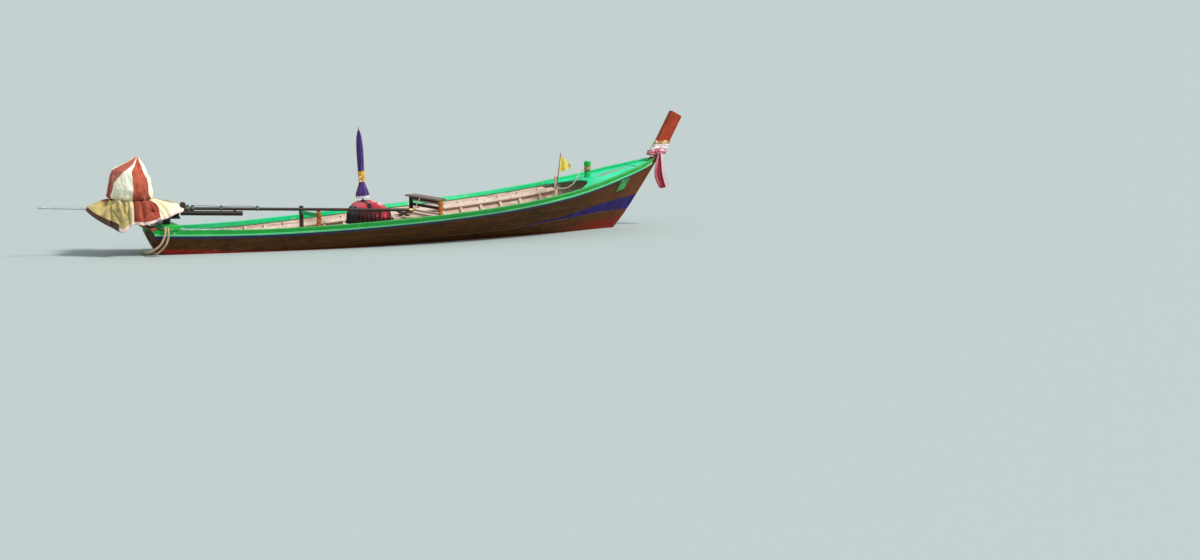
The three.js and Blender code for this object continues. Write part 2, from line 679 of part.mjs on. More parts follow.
function prowSleeve(low, high, clearance, thickness) {
  const ring = (z, out) => {
    const [halfX, halfY] = [prowHalfDepth + out, stem.postHalfWidth + out];
    return [[halfX, halfY], [-halfX, halfY], [-halfX, -halfY],
      [halfX, -halfY]].map(([x, y]) => vec(prowCentre(z) + x, y, z));
  };
  return cut(loft([ring(low, clearance + thickness), ring(high, clearance + thickness)]),
    [loft([ring(low - 50, clearance), ring(high + 50, clearance)])]);
}

add("prow_wrap", prowSleeve(prowWrap.low, prowWrap.high, prowWrap.clearance, prowWrap.thickness), "whiteCloth");
add("prow_garland", prowSleeve(prowWrap.high + gap, prowWrap.high + gap + garland.height, prowWrap.clearance,
  garland.thickness), "yellowCloth");
const sashFace = stem.postHalfWidth + prowWrap.clearance + prowWrap.thickness + gap;
add("prow_sash", block([sash.aftX, -sashFace - sash.thickness, sash.bottom],
  [sash.foreX, -sashFace, prowWrap.low + sash.overlap]), "redCloth");

// The swivel turns on a leaning post, and the motor tilts in the swivel

const droop = radians(pivot.tailDroop);
const rake = radians(pivot.rake);
const bearerTop = railTop(bearer.x, bearer.width) + bearer.depth;
const pivotHeight = bearerTop + socket.height + gap;
const swivel = new THREE.Group();
swivel.position.set(pivot.x, 0, pivotHeight);
swivel.rotation.set(0, -rake, radians(pivot.swing), "YXZ");
boat.add(swivel);
const motor = new THREE.Group();
motor.position.set(0, 0, yoke.trunnionHeight);
motor.rotation.y = droop + rake;
swivel.add(motor);
boat.updateMatrixWorld(true);

// Crutch that carries the tail

const [tailFrom, tailTo] = [0,
  tail.length].map((x) => vec(x, 0, tail.shaftLine - tail.radius).applyMatrix4(motor.matrixWorld));
const rest = tailFrom.clone().lerp(tailTo, (crutch.x - tailFrom.x) / (tailTo.x - tailFrom.x));

function crutchFrame() {
  const half = sidePost.width / 2;
  const foot = floor.height + floor.thickness + gap;
  const topAt = (x, y) => rest.z - crutch.seat - x * Math.tan(droop) + y * crutch.fall;
  const corners = [[-half, -half], [half, -half], [half, half], [-half, half]];
  const near = loft([() => foot,
    topAt].map((height) => corners.map(([x, y]) => vec(crutch.x + x, rest.y + y, height(x, y)))));
  const far = block([crutch.x - crutch.farShift - half, crutch.farY - half, foot],
    [crutch.x - crutch.farShift + half, crutch.farY + half, crutch.farTop]);
  const plank = bar(vec(crutch.x - crutch.farShift - 6, crutch.farY + 60, crutch.plankHeight),
    vec(crutch.x + 6, rest.y - 40, crutch.plankHeight), crutch.plankThickness, crutch.plankDepth);
  return union([near, far, plank]);
}

add("crutch", crutchFrame(), "brownTimber");

// Box under a red cover, with the furled umbrella stepped in it

const poleUnder = umbrella.foot - (box.lid - 320);
const floorTop = floor.height + floor.thickness + gap;
const inUmbrella = (geometry) => geometry.rotateY(-radians(umbrella.lean)).translate(umbrella.x, umbrella.y,
  umbrella.foot);
const poleHole = inUmbrella(rod(vec(0, 0, -poleUnder - gap), vec(0, 0, 200), umbrella.poleRadius + 2 * gap));
const boxBody = block([box.aftX, box.starboardY, floorTop], [box.foreX, box.portY, box.lid]);
add("deck_box", cut(boxBody, [poleHole]), "darkTimber");

function boxCoverShell() {
  const out = boxCover.overhang;
  const dome = [];
  const count = 12;
  for (let i = 0; i <= count; i += 1) {
    const angle = (Math.PI * i) / count;
    const half = (box.foreX - box.aftX) / 2 + out;
    dome.push([(box.aftX + box.foreX) / 2 - half * Math.cos(angle),
      box.lid + gap + boxCover.rise * Math.sin(angle) ** 0.8]);
  }
  return loft([box.starboardY - out, box.portY + out].map((y) => dome.map(([x, z]) => vec(x, y, z))));
}

add("box_cover", cut(boxCoverShell(), [poleHole]), "redCloth");

function furledCanopy() {
  const profile = [[0, umbrella.furl[0][0]], ...umbrella.furl.map(([z, r]) => [r, z]),
    [0, umbrella.furl.at(-1)[0]]];
  const bore = new THREE.CylinderGeometry(umbrella.poleRadius + gap, umbrella.poleRadius + gap, 240,
    12).rotateX(Math.PI / 2);
  const body = new THREE.LatheGeometry(profile.map(([x, y]) => new THREE.Vector2(x, y)),
    20).rotateX(Math.PI / 2);
  return cut(body, [bore.translate(0, 0, umbrella.furl[0][0])]);
}

const umbrellaGroup = new THREE.Group();
umbrellaGroup.position.set(umbrella.x, umbrella.y, umbrella.foot);
umbrellaGroup.rotation.y = -radians(umbrella.lean);
boat.add(umbrellaGroup);
const innerTop = umbrella.furl[0][0] + 119;
add("umbrella_pole", rod(vec(0, 0, -poleUnder), vec(0, 0, innerTop), umbrella.poleRadius), "tube",
  umbrellaGroup);
add("umbrella_canopy", furledCanopy(), "purpleCloth", umbrellaGroup);
function umbrellaTie() {
  const rows = umbrella.furl.filter(([z]) => z > umbrella.tieLow && z < umbrella.tieHigh);
  const ends = [[umbrella.tieLow, 55], ...rows, [umbrella.tieHigh, 60]];
  const inner = ends.map(([z, r]) => new THREE.Vector2(r + gap, z));
  const outer = ends.map(([z, r]) => new THREE.Vector2(r + umbrella.tieThickness, z));
  return fit(new THREE.LatheGeometry([inner[0], ...outer, ...inner.reverse()], 20).rotateX(Math.PI / 2),
    [furledCanopy()]);
}

add("umbrella_tie", umbrellaTie(), "yellowCloth", umbrellaGroup);
const tipLow = umbrella.furl.at(-1)[0] + gap;
add("umbrella_tip", rod(vec(0, 0, tipLow), vec(0, 0, tipLow + umbrella.tipLength), 9, 8, 5), "darkTimber",
  umbrellaGroup);

// Bench across the boat

function benchFrame() {
  const b = bench;
  const [port, starboard] = [vec(b.portX, b.portY, 0), vec(b.starboardX, b.starboardY, 0)];
  const at = (share, z) => port.clone().lerp(starboard, share).setZ(z);
  const seatLow = b.seatHeight - b.seatThickness;
  const ends = [b.postInset, 1 - b.postInset];
  const pieces = ends.map((k) => bar(at(k, thwarts[1][3] + thwartThickness + gap), at(k, seatLow - gap),
    b.postWidth, b.postWidth));
  for (const [z, shift, width, depth] of b.rails) {
    const [from, to] = ends.map((k) => at(k, z).add(vec(shift, 0, 0)));
    pieces.push(bar(from, to, width, depth));
  }
  return union(pieces);
}

function benchSeat() {
  const b = bench;
  return bar(vec(b.portX, b.portY, b.seatHeight - b.seatThickness / 2),
    vec(b.starboardX, b.starboardY, b.seatHeight - b.seatThickness / 2), b.seatWidth, b.seatThickness);
}

add("bench_frame", benchFrame(), "brownTimber");
add("bench_seat", benchSeat(), "timber");

// Board laid over two thwarts, with a pair of crossed slats and a stick on it

const boardLow = thwarts[1][3] + thwartThickness + gap;
const boardTimber = block([gangboard.aftX, gangboard.starboardY, boardLow],
  [gangboard.foreX, gangboard.portY, boardLow + gangboard.thickness]);
const slatPair = union([[slats.high, slats.low], [slats.low, slats.high]].map(([aftZ, foreZ]) => bar(
  vec(slats.aftX, slats.y, aftZ), vec(slats.foreX, slats.y, foreZ), slats.width, slats.depth)));
const stickTop = vec(leaningStick.topX, leaningStick.y, leaningStick.top);
const stickBody = rod(vec(leaningStick.footX, leaningStick.y, boardLow), stickTop, leaningStick.radius, 10);
add("gangboard", boardTimber, "timber");
add("crossed_slats", fit(slatPair, [boardTimber]), "darkTimber");
add("leaning_stick", fit(stickBody, [boardTimber]), "timber");

// Socket, fork and motor

const zRod = (radius, low, high, sides = 20) => rod(vec(0, 0, low), vec(0, 0, high), radius, sides);
const socketBore = zRod(yoke.spigotRadius + 0.8, -socket.height + 12, 20);
const socketBody = cut(zRod(socket.radius, -socket.height - 8, -gap),
  [socketBore]).rotateY(-rake).translate(pivot.x, 0, pivotHeight);
add("pivot_socket", fit(socketBody, [bearerTimber]), "steel");

function yokeFork() {
  const y = yoke;
  const side = y.cheekY + y.cheekThickness / 2;
  const pieces = [
    zRod(y.spigotRadius, -socket.height + 14, 10),
    block([-50, -side, 0], [50, side, y.base]),
    ...[-1, 1].map((k) => {
      const edges = [k * (y.cheekY - y.cheekThickness / 2), k * side].sort((a, b) => a - b);
      return block([-42, edges[0], 0], [42, edges[1], y.trunnionHeight + 40]);
    }),
  ];
  const bore = rod(vec(0, -side - 10, y.trunnionHeight), vec(0, side + 10, y.trunnionHeight), 18.6, 20);
  return cut(union(pieces), [bore]);
}

add("swivel_yoke", yokeFork(), "steel", swivel);

// In the motor group the tail runs along +X at shaftLine above the trunnions

function engineBed() {
  const b = bed;
  const rails = [-1, 1].map((k) => {
    const edges = [k * b.halfWidth, k * (b.halfWidth - b.railWidth)].sort((m, n) => m - n);
    return block([b.aft, edges[0], b.bottom], [b.fore, edges[1], b.bottom + b.depth]);
  });
  const cross = [b.aft, b.fore - 60].map((x) => block([x, -b.halfWidth, b.bottom],
    [x + 60, b.halfWidth, b.bottom + b.depth]));
  const hangers = [-1, 1].map((k) => {
    const edges = [k * b.halfWidth, k * (b.halfWidth - 22)].sort((m, n) => m - n);
    return block([-40, edges[0], b.bottom], [40, edges[1], 36]);
  });
  const pins = [-1, 1].map((k) => rod(vec(0, k * (b.halfWidth - 10), 0), vec(0, k * (yoke.cheekY + 22), 0), 18,
    16));
  const bearing = block([b.fore - b.bearing, -b.bearingHalfWidth, b.bottom + 10],
    [b.fore, b.bearingHalfWidth, tail.shaftLine + tail.collarRadius]);
  const bore = rod(vec(b.fore - b.bearing - 10, 0, tail.shaftLine), vec(b.fore + 10, 0, tail.shaftLine),
    tail.journal + 0.8, 16);
  return cut(union([...rails, ...cross, ...hangers, ...pins, bearing]), [bore]);
}

function tailTube() {
  const at = (x) => vec(x, 0, tail.shaftLine);
  const start = bed.fore + gap;
  const end = tail.length - propeller.hubLength / 2 - 1;
  const long = rod(at(start), at(end), tail.radius, 16);
  const collar = rod(at(start), at(start + tail.collar), tail.collarRadius, 16);
  const journal = rod(at(engine.fore + gap), at(start + 10), tail.journal, 16);
  const bore = rod(at(end - 90), at(end + 10), propeller.shaftRadius + 0.8, 16);
  return cut(union([long, collar, journal]), [bore]);
}

const engineBlock = block([engine.aft, -engine.halfWidth, bed.bottom + bed.depth + gap],
  [engine.fore, engine.halfWidth, engine.top]);

function exhaustPipe() {
  const z = tail.shaftLine - exhaust.drop;
  const silencer = rod(vec(exhaust.start, 0, z), vec(exhaust.end, 0, z), exhaust.radius, 16);
  const saddles = [exhaust.start + 160,
    exhaust.end - 160].map((x) => block([x, -14, z], [x + 40, 14, tail.shaftLine - tail.radius - gap]));
  return union([silencer, ...saddles]);
}

function tillerTube() {
  const start = vec(engine.aft - gap, 0, tail.shaftLine - tiller.drop);
  return rod(start, vec(tiller.end, 0, start.z + tiller.rise), tiller.radius, 12);
}

add("engine_bed", engineBed(), "steel", motor);
add("engine", engineBlock, "steel", motor);
add("tail_tube", tailTube(), "steel", motor);
add("silencer", exhaustPipe(), "darkTimber", motor);
add("tiller", tillerTube(), "tube", motor);

// Cover draped over the engine, open below, with a notch where the tail leaves it

function hemHeight(angle) {
  const degrees = Math.abs(THREE.MathUtils.radToDeg(angle > Math.PI ? 2 * Math.PI - angle : angle));
  const i = Math.max(1, cover.hem.findIndex(([a]) => a >= degrees - 1e-6));
  const [[fromAngle, from], [toAngle, to]] = [cover.hem[i - 1], cover.hem[i]];
  return from + (to - from) * THREE.MathUtils.smoothstep(degrees, fromAngle, toAngle);
}

function coverShell() {
  const c = cover;
  const angles = Array.from({ length: c.sides }, (_, i) => (2 * Math.PI * i) / c.sides);
  const ring = (height, rx, ry, shift, inset) => angles.map((angle) => vec(
    c.centreX - shift + (rx - inset) * Math.cos(angle), (ry - inset) * Math.sin(angle),
      tail.shaftLine + height(angle)));
  const outer = c.rings.map(([z, rx, ry, shift]) => ring(() => z, rx, ry, shift, 0));
  const inner = c.rings.slice(1).map(([z, rx, ry, shift]) => ring(() => z - c.thickness, rx, ry, shift,
    c.thickness)).reverse();
  const [hemX, hemY, hemShift] = c.hemRadii;
  const hem = [0, c.thickness].map((inset) => ring(hemHeight, hemX, hemY, hemShift, inset));
  const apex = c.rings[1][0] - c.thickness;
  return loft([...outer, ...hem, ...inner.slice(0, -1),
    ring(() => apex, c.rings[1][1], c.rings[1][2], c.rings[1][3], c.thickness)]);
}

const coverTop = tail.shaftLine + cover.rings[1][0] - cover.thickness;
add("cover_pole", rod(vec(cover.centreX, 0, engine.top + gap), vec(cover.centreX, 0, coverTop - gap),
  cover.poleRadius), "timber", motor);
add("engine_cover", coverShell(), "creamCloth", motor);

// Propeller, two blades that lie level at rest

const propellerGroup = new THREE.Group();
propellerGroup.position.set(tail.length, 0, tail.shaftLine);
motor.add(propellerGroup);

function propellerBody() {
  const p = propeller;
  const hub = rod(vec(-p.hubLength / 2, 0, 0), vec(p.hubLength / 2, 0, 0), p.hubRadius, 16, p.hubRadius * 0.7);
  const blades = [-1, 1].map((k) => {
    const blade = new THREE.CylinderGeometry(1, 1, p.thickness, 16).scale(p.chord / 2, 1, p.radius / 2 - 4);
    return blade.rotateZ(k * radians(p.pitch)).translate(0, 0, k * (p.radius / 2 + 4));
  });
  const shaft = rod(vec(-p.hubLength / 2 - 70, 0, 0), vec(0, 0, 0), p.shaftRadius, 16);
  return union([hub, shaft, ...blades.map((g) => g.rotateX(-Math.PI / 2))]);
}

add("propeller", propellerBody(), "bronze", propellerGroup);

// Rope that lies along the starboard gunwale, from the bearer forward
const gunwaleRope = {
  radius: 16,
  // Columns: x, y, z
  route: [
    [-4232, -404, 463], [-4200, -404, 462], [-4165, -408, 452], [-4115, -422, 445.3], [-4050, -450, 443.2],
      [-3980, -438, 441],
    [-3910, -466, 439.3], [-3840, -494, 437.3], [-3770, -474, 436], [-3700, -500, 434.5], [-3630, -530, 433.3],
      [-3560, -508, 432.5],
    [-3490, -536, 431], [-3420, -556, 429.8], [-3350, -544, 429],
  ],
};
const bowRope = {
  radius: 12,
  // Columns: x, y, z, from the bollard to the flag post
  route: [
    [3836, 230, 1105], [3790, 224, 1097], [3740, 210, 1058], [3684, 190, 990], [3632, 176, 915],
      [3576, 174, 845], [3506, 198, 790],
    [3432, 244, 762], [3370, 296, 756], [3315, 330, 762],
  ],
};
add("bow_rope", fit(ropeAlong(bowRope.route, bowRope.radius), [ropeTurns, flagPostTimber()]), "rope");
add("gunwale_rope", fit(ropeAlong(gunwaleRope.route, gunwaleRope.radius), [gunwaleRail(-1), bearerTimber]),
  "rope");
for (const name of ["outer", "inner"]) {
  add(`stern_rope_${name}`, fit(ropeAlong(sternRope[name], sternRope.radius), [bearerTimber]), "rope");
}

export default boat;
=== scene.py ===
import json
import math
import bpy
import bmesh
from mathutils import Matrix, Vector, noise


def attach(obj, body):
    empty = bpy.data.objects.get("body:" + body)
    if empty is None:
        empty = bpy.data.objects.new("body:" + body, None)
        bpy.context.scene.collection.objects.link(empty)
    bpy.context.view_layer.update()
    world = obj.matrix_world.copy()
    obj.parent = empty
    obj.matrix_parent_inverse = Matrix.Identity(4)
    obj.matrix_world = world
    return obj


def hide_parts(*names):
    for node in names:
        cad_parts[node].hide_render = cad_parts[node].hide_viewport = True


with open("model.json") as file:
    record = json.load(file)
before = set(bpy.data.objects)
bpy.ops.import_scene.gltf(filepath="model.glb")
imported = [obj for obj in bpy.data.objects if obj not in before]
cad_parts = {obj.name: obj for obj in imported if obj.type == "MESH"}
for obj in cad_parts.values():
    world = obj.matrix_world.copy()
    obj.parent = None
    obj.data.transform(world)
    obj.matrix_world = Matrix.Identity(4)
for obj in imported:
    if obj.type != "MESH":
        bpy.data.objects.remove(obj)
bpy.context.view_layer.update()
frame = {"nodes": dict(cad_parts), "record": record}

# Longtail boat, in metres: +X bow, +Y port, +Z up, origin on the centreline at the waterline
nodes = frame["nodes"]
bodyOf = {n: body for body, members in frame["record"]["behaviour"]["bodies"].items() for n in members}
scene = bpy.context.scene
scene.view_settings.view_transform = "Standard"

# Camera at the photograph's viewing angle
cameraValues = {
    "place": (-15.853, -41.297, 5.588), "down": 8.179, "turn": -25.742, "lens": 72.9, "sensor": 36.0,
    "farthest": 1000,
}
cameraData = bpy.data.cameras.new("camera")
cameraData.lens = cameraValues["lens"]
cameraData.sensor_width = cameraValues["sensor"]
cameraData.clip_end = cameraValues["farthest"]
camera = bpy.data.objects.new("camera", cameraData)
camera.location = cameraValues["place"]
camera.rotation_euler = (math.radians(90 - cameraValues["down"]), 0, math.radians(cameraValues["turn"]))
scene.collection.objects.link(camera)
scene.camera = camera
print("camera placed")


# Helpers for materials

def linear(code):  # sRGB hex to linear red, green, blue and alpha
    channels = [int(code[i:i + 2], 16) / 255 for i in (1, 3, 5)]
    return [c / 12.92 if c <= 0.04045 else ((c + 0.055) / 1.055) ** 2.4 for c in channels] + [1.0]


def darker(code, share):
    return [c * share for c in linear(code)[:3]] + [1.0]


def fill(tree, made, inputs):  # numbers go on the node's own sockets, sockets are linked
    for key, value in inputs.items():
        if isinstance(value, bpy.types.NodeSocket):
            tree.links.new(value, made.inputs[key])
        else:
            made.inputs[key].default_value = value


def add(tree, kind, inputs=None, **settings):
    made = tree.nodes.new(kind)
    for key, value in settings.items():
        setattr(made, key, value)
    fill(tree, made, inputs or {})
    return made


def math2(tree, operation, a, b=0.0):
    return add(tree, "ShaderNodeMath", {0: a, 1: b}, operation=operation).outputs[0]


def times(tree, a, b):
    return math2(tree, "MULTIPLY", a, b)


def plus(tree, a, b):
    return math2(tree, "ADD", a, b)


def minus(tree, a, b):
    return math2(tree, "SUBTRACT", a, b)


def inverse(tree, value):
    return minus(tree, 1.0, value)


def zigzag(tree, value, size):  # up from 0 to size and down again
    return math2(tree, "PINGPONG", value, size)


def newMaterial(name):
    material = bpy.data.materials.new(name)
    material.use_nodes = True
    tree = material.node_tree
    tree.nodes.clear()
    shader = add(tree, "ShaderNodeBsdfPrincipled")
    add(tree, "ShaderNodeOutputMaterial", {"Surface": shader.outputs[0]})
    return material, tree, shader


def mixed(tree, share, a, b):  # colours as hex, as numbers or as sockets
    a, b = (linear(colour) if isinstance(colour, str) else colour for colour in (a, b))
    return add(tree, "ShaderNodeMix", {0: share, 6: a, 7: b}, data_type="RGBA").outputs[2]


def tinted(tree, base, where, colour, strength=None):  # a colour over base, where and as strongly as given
    return mixed(tree, where if strength is None else times(tree, where, strength), base, colour)


def ramp(tree, value, low, high):  # 0 at low, 1 at high
    return add(tree, "ShaderNodeMapRange", {0: value, 1: low, 2: high, 3: 0.0, 4: 1.0}).outputs[0]


def objectPoint(tree):
    return add(tree, "ShaderNodeTexCoord").outputs["Object"]


def objectPlace(tree):  # x, y and z sockets
    return add(tree, "ShaderNodeSeparateXYZ", {0: objectPoint(tree)}).outputs


def laidPlace(tree):  # along and across the piece's own UV map
    laid = add(tree, "ShaderNodeUVMap", uv_map="laid").outputs[0]
    return add(tree, "ShaderNodeSeparateXYZ", {0: laid}).outputs


def speckle(tree, sizes, detail=6.0, roughness=0.6):  # noise drawn out to sizes in metres along x, y and z
    scaled = {"Vector": objectPoint(tree), "Scale": [1 / s for s in sizes]}
    point = add(tree, "ShaderNodeMapping", scaled).outputs[0]
    inputs = {"Vector": point, "Scale": 1.0, "Detail": detail, "Roughness": roughness}
    return add(tree, "ShaderNodeTexNoise", inputs).outputs[0]


def grain(tree, lengthwise, across):
    return speckle(tree, (lengthwise, across, across))


def blotches(tree, size, detail=4.0, roughness=0.6):
    return speckle(tree, (size, size, size), detail, roughness)


def dappled(tree, size, low, high, detail=4.0, roughness=0.6):  # 0 to 1 in blotches
    return ramp(tree, blotches(tree, size, detail, roughness), low, high)


def within(tree, value, low, high, edge):  # 1 between low and high, with soft edges
    rising = ramp(tree, value, low - edge, low + edge)
    return times(tree, rising, ramp(tree, value, high + edge, high - edge))


def bump(tree, shader, height, strength, distance):
    made = add(tree, "ShaderNodeBump", {"Strength": strength, "Distance": distance, "Height": height})
    tree.links.new(made.outputs[0], shader.inputs["Normal"])


def curveOf(tree, value, low, high, points):  # a line through points, read at value between low and high
    curve = add(tree, "ShaderNodeFloatCurve", {"Value": ramp(tree, value, low, high)})
    line = curve.mapping.curves[0]
    places = [((at - low) / (high - low), out) for at, out in points]
    line.points[0].location = (0, places[0][1])
    line.points[1].location = (1, places[-1][1])
    for place in places:
        made = line.points.new(*place)
        made.handle_type = "VECTOR"
    curve.mapping.update()
    return curve.outputs[0]


# Helpers for pieces

def toMesh(bm, name):
    mesh = bpy.data.meshes.new(name)
    bm.to_mesh(mesh)
    bm.free()
    return mesh


def finished(name, bm, material, body):
    mesh = toMesh(bm, name)
    piece = bpy.data.objects.new(name, mesh)
    scene.collection.objects.link(piece)
    mesh.materials.append(material)
    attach(piece, body)
    return piece


def turned(axis, degrees):
    return Matrix.Rotation(math.radians(degrees), 4, axis)


# A grid laid over a surface: place(u, v) gives each point, laid(u, v) what its UV map holds
def mapped(across, along, place, closed=False, laid=lambda u, v: (u, v)):
    bm = bmesh.new()
    layer = bm.loops.layers.uv.new("laid")
    bmesh.ops.create_grid(bm, x_segments=across, y_segments=along, size=0.5)
    for face in bm.faces:
        face.smooth = True
        for loop in face.loops:
            loop[layer].uv = laid(loop.vert.co.x + 0.5, loop.vert.co.y + 0.5)
    for vert in bm.verts:
        vert.co = place(vert.co.x + 0.5, vert.co.y + 0.5)
    if closed:
        bmesh.ops.remove_doubles(bm, verts=bm.verts, dist=1e-5)
    bmesh.ops.recalc_face_normals(bm, faces=bm.faces)
    return bm


def clamped(value):
    return max(0.0, min(1.0, value))


# Smooth value of a table's column at a place along its rising first column
def between(table, at, column):
    last = len(table) - 1
    i = max(0, min(last - 1, sum(row[0] <= at for row in table) - 1))
    a, b = table[i], table[i + 1]
    width = b[0] - a[0]
    t = clamped((at - a[0]) / width)
    rise = (b[column] - a[column]) / width
    before, after = table[max(0, i - 1)], table[min(last, i + 2)]
    slopeA = (b[column] - before[column]) / (b[0] - before[0]) if i else rise
    slopeB = (after[column] - a[column]) / (after[0] - a[0]) if i < last - 1 else rise
    ease = 3 * t ** 2 - 2 * t ** 3
    bends = (t ** 3 - 2 * t ** 2 + t) * slopeA + (t ** 3 - t ** 2) * slopeB
    return (1 - ease) * a[column] + ease * b[column] + width * bends


def soft(x, y, z, seed=0.0):  # smooth noise from -1 to 1
    return noise.noise(Vector((x + seed, y - seed, z + 0.5 * seed)))


def crumple(x, y, z, seed=0.0):  # sharp-ridged noise from 0 to 1, as in creased cloth
    return 1 - abs(soft(x, y, z, seed)) * 2


def spread(mesh):  # its area in square metres
    return round(sum(polygon.area for polygon in mesh.polygons), 3)


def thicken(piece, thickness):
    solid = piece.modifiers.new("thickness", "SOLIDIFY")
    solid.thickness = thickness
    solid.offset = 0


# Points on a smooth curve through the given ones, which are in millimetres
def smoothRoute(points, steps):
    points = [Vector(p) / 1000 for p in points]
    ends = [points[0] * 2 - points[1]] + points + [points[-1] * 2 - points[-2]]
    route = []
    for a, b, c, d in zip(ends, ends[1:], ends[2:], ends[3:]):
        for i in range(steps):
            t = i / steps
            route.append(0.5 * (2 * b + (c - a) * t + (2 * a - 5 * b + 4 * c - d) * t * t
                                + (3 * b - a - 3 * c + d) * t ** 3))
    return route + [points[-1]]


# A rope of three strands along a route; its UV map holds metres along and turns around
ropeShape = {"around": 24, "ringsPerPitch": 9, "fewestRings": 30, "grooveDepth": 0.14, "strands": 3}


def sweep(route, radius, pitch, around=ropeShape["around"]):
    lengths = [0.0]
    for a, b in zip(route, route[1:]):
        lengths.append(lengths[-1] + (b - a).length)
    count = max(ropeShape["fewestRings"], round(lengths[-1] / (pitch / ropeShape["ringsPerPitch"])))
    normal = Vector((0.3, 0.2, 1)).cross(route[1] - route[0]).normalized()
    rings, at = [], 0
    for i in range(count + 1):
        reach = lengths[-1] * i / count
        while at < len(route) - 2 and lengths[at + 1] < reach:
            at += 1
        share = (reach - lengths[at]) / (lengths[at + 1] - lengths[at])
        ahead = (route[min(at + 2, len(route) - 1)] - route[at]).normalized()
        behind = (route[at + 1] - route[max(0, at - 1)]).normalized()
        way = behind.lerp(ahead, share).normalized()
        normal = (normal - way * normal.dot(way)).normalized()
        rings.append((route[at].lerp(route[at + 1], share), normal, way.cross(normal), reach))

    def surface(u, v):
        place, side, up, reach = rings[round(v * count)]
        angle = 2 * math.pi * u
        lay = abs(math.cos(ropeShape["strands"] * (angle / 2 + math.pi * reach / pitch)))
        strand = 1 - ropeShape["grooveDepth"] * (1 - lay)
        return place + radius * strand * (side * math.cos(angle) + up * math.sin(angle))

    bm = mapped(around, count, surface, True, lambda u, v: (rings[round(v * count)][3], u))
    bmesh.ops.holes_fill(bm, edges=[e for e in bm.edges if e.is_boundary])
    bmesh.ops.recalc_face_normals(bm, faces=bm.faces)
    return bm, lengths[-1]


# Laid rope, three twisted strands of dull fibre: slanting lays with painted shade in the grooves between
# strands and between yarns, and grubby patches
def laidRope(name, colour, shadow, pitch):
    material, tree, shader = newMaterial(name)
    along, around = laidPlace(tree)[:2]
    turns = plus(tree, times(tree, along, 3 / pitch), times(tree, around, 3.0))
    base = mixed(tree, ramp(tree, zigzag(tree, plus(tree, turns, 0.5), 0.5), 0.03, 0.2), shadow, colour)
    yarns = ramp(tree, zigzag(tree, times(tree, turns, 4.0), 0.5), 0.0, 0.3)
    # Painted shade between the yarns
    base = tinted(tree, base, inverse(tree, yarns), darker(colour, 0.55), 0.35)
    base = tinted(tree, base, dappled(tree, 0.08, 0.45, 0.75), darker(colour, 0.6), 0.6)
    fill(tree, shader, {"Base Color": base, "Roughness": 0.92})
    bump(tree, shader, yarns, 0.5, 0.001)
    return material


# Ropes: routes in millimetres, the same as the CAD ropes
ropeValues = {
    "stern_rope_outer": {
        "radius": 0.0195, "pitch": 0.075, "steps": 8, "end": "bare", "lay": "hanging",
        "colours": ("#D8B888", "#7A5A34"),
        "points": [(-4466, -455.3, 500), (-4466, -490, 496), (-4468, -520, 472), (-4472, -536, 430),
                   (-4478, -538, 340), (-4514, -522, 225), (-4572, -470, 130), (-4628, -400, 66),
                   (-4664, -345, 34)],
    },
    "stern_rope_inner": {
        "radius": 0.0195, "pitch": 0.075, "steps": 8, "end": "bare", "lay": "hanging",
        "colours": ("#DCC096", "#80603A"),
        "points": [(-4510, -455.3, 500), (-4512, -490, 496), (-4518, -520, 472), (-4528, -536, 430),
                   (-4552, -538, 335), (-4622, -512, 205), (-4722, -445, 115), (-4782, -300, 72),
                   (-4790, -120, 50), (-4778, 60, 34), (-4765, 220, 24)],
    },
    "bow_rope": {
        "radius": 0.0115, "pitch": 0.05, "steps": 8, "end": "knot", "lay": "hanging",
        "colours": ("#E8E0C4", "#8A8460"),
        "points": [(3836, 230, 1105), (3790, 224, 1097), (3740, 210, 1058), (3684, 190, 990),
                   (3632, 176, 915), (3576, 174, 845), (3506, 198, 790), (3432, 244, 762),
                   (3370, 296, 756), (3316, 330, 762)],
    },
    "gunwale_rope": {
        "radius": 0.0155, "pitch": 0.06, "steps": 6, "end": "bare", "lay": "loose",
        "colours": ("#C8DECA", "#5A8674"),
        "points": [(-4229.5, -404, 463), (-4200, -404, 462), (-4165, -408, 452), (-4115, -422, 446),
                   (-4050, -450, 443.2), (-3980, -438, 441), (-3910, -466, 439.3), (-3840, -494, 437.3),
                   (-3770, -474, 436), (-3700, -500, 434.5), (-3630, -530, 433.3), (-3560, -508, 432.5),
                   (-3490, -536, 431), (-3420, -556, 429.8), (-3350, -544, 429)],
    },
}
for nodeName, values in ropeValues.items():
    route = smoothRoute(values["points"], values["steps"])
    laid, length = sweep(route, values["radius"], values["pitch"])
    fibre = laidRope(nodeName + "Fibre", *values["colours"], values["pitch"])
    rope = finished(nodeName + "_laid", laid, fibre, "hull")
    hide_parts(nodeName)
    print(nodeName, "laid,", round(length, 3), "m")


# Weathered timber: fine grain along the piece, paler where the sun has bleached it, darker where stained
def timber(name, dark, light, roughness=0.75, lengthwise=0.5, across=0.012):
    material, tree, shader = newMaterial(name)
    fibres = grain(tree, lengthwise, across)
    base = mixed(tree, ramp(tree, fibres, 0.35, 0.68), dark, light)
    base = tinted(tree, base, dappled(tree, 0.22, 0.52, 0.72), darker(dark, 0.55), 0.5)
    fill(tree, shader, {"Base Color": base, "Roughness": roughness})
    bump(tree, shader, fibres, 0.35, 0.002)
    return material


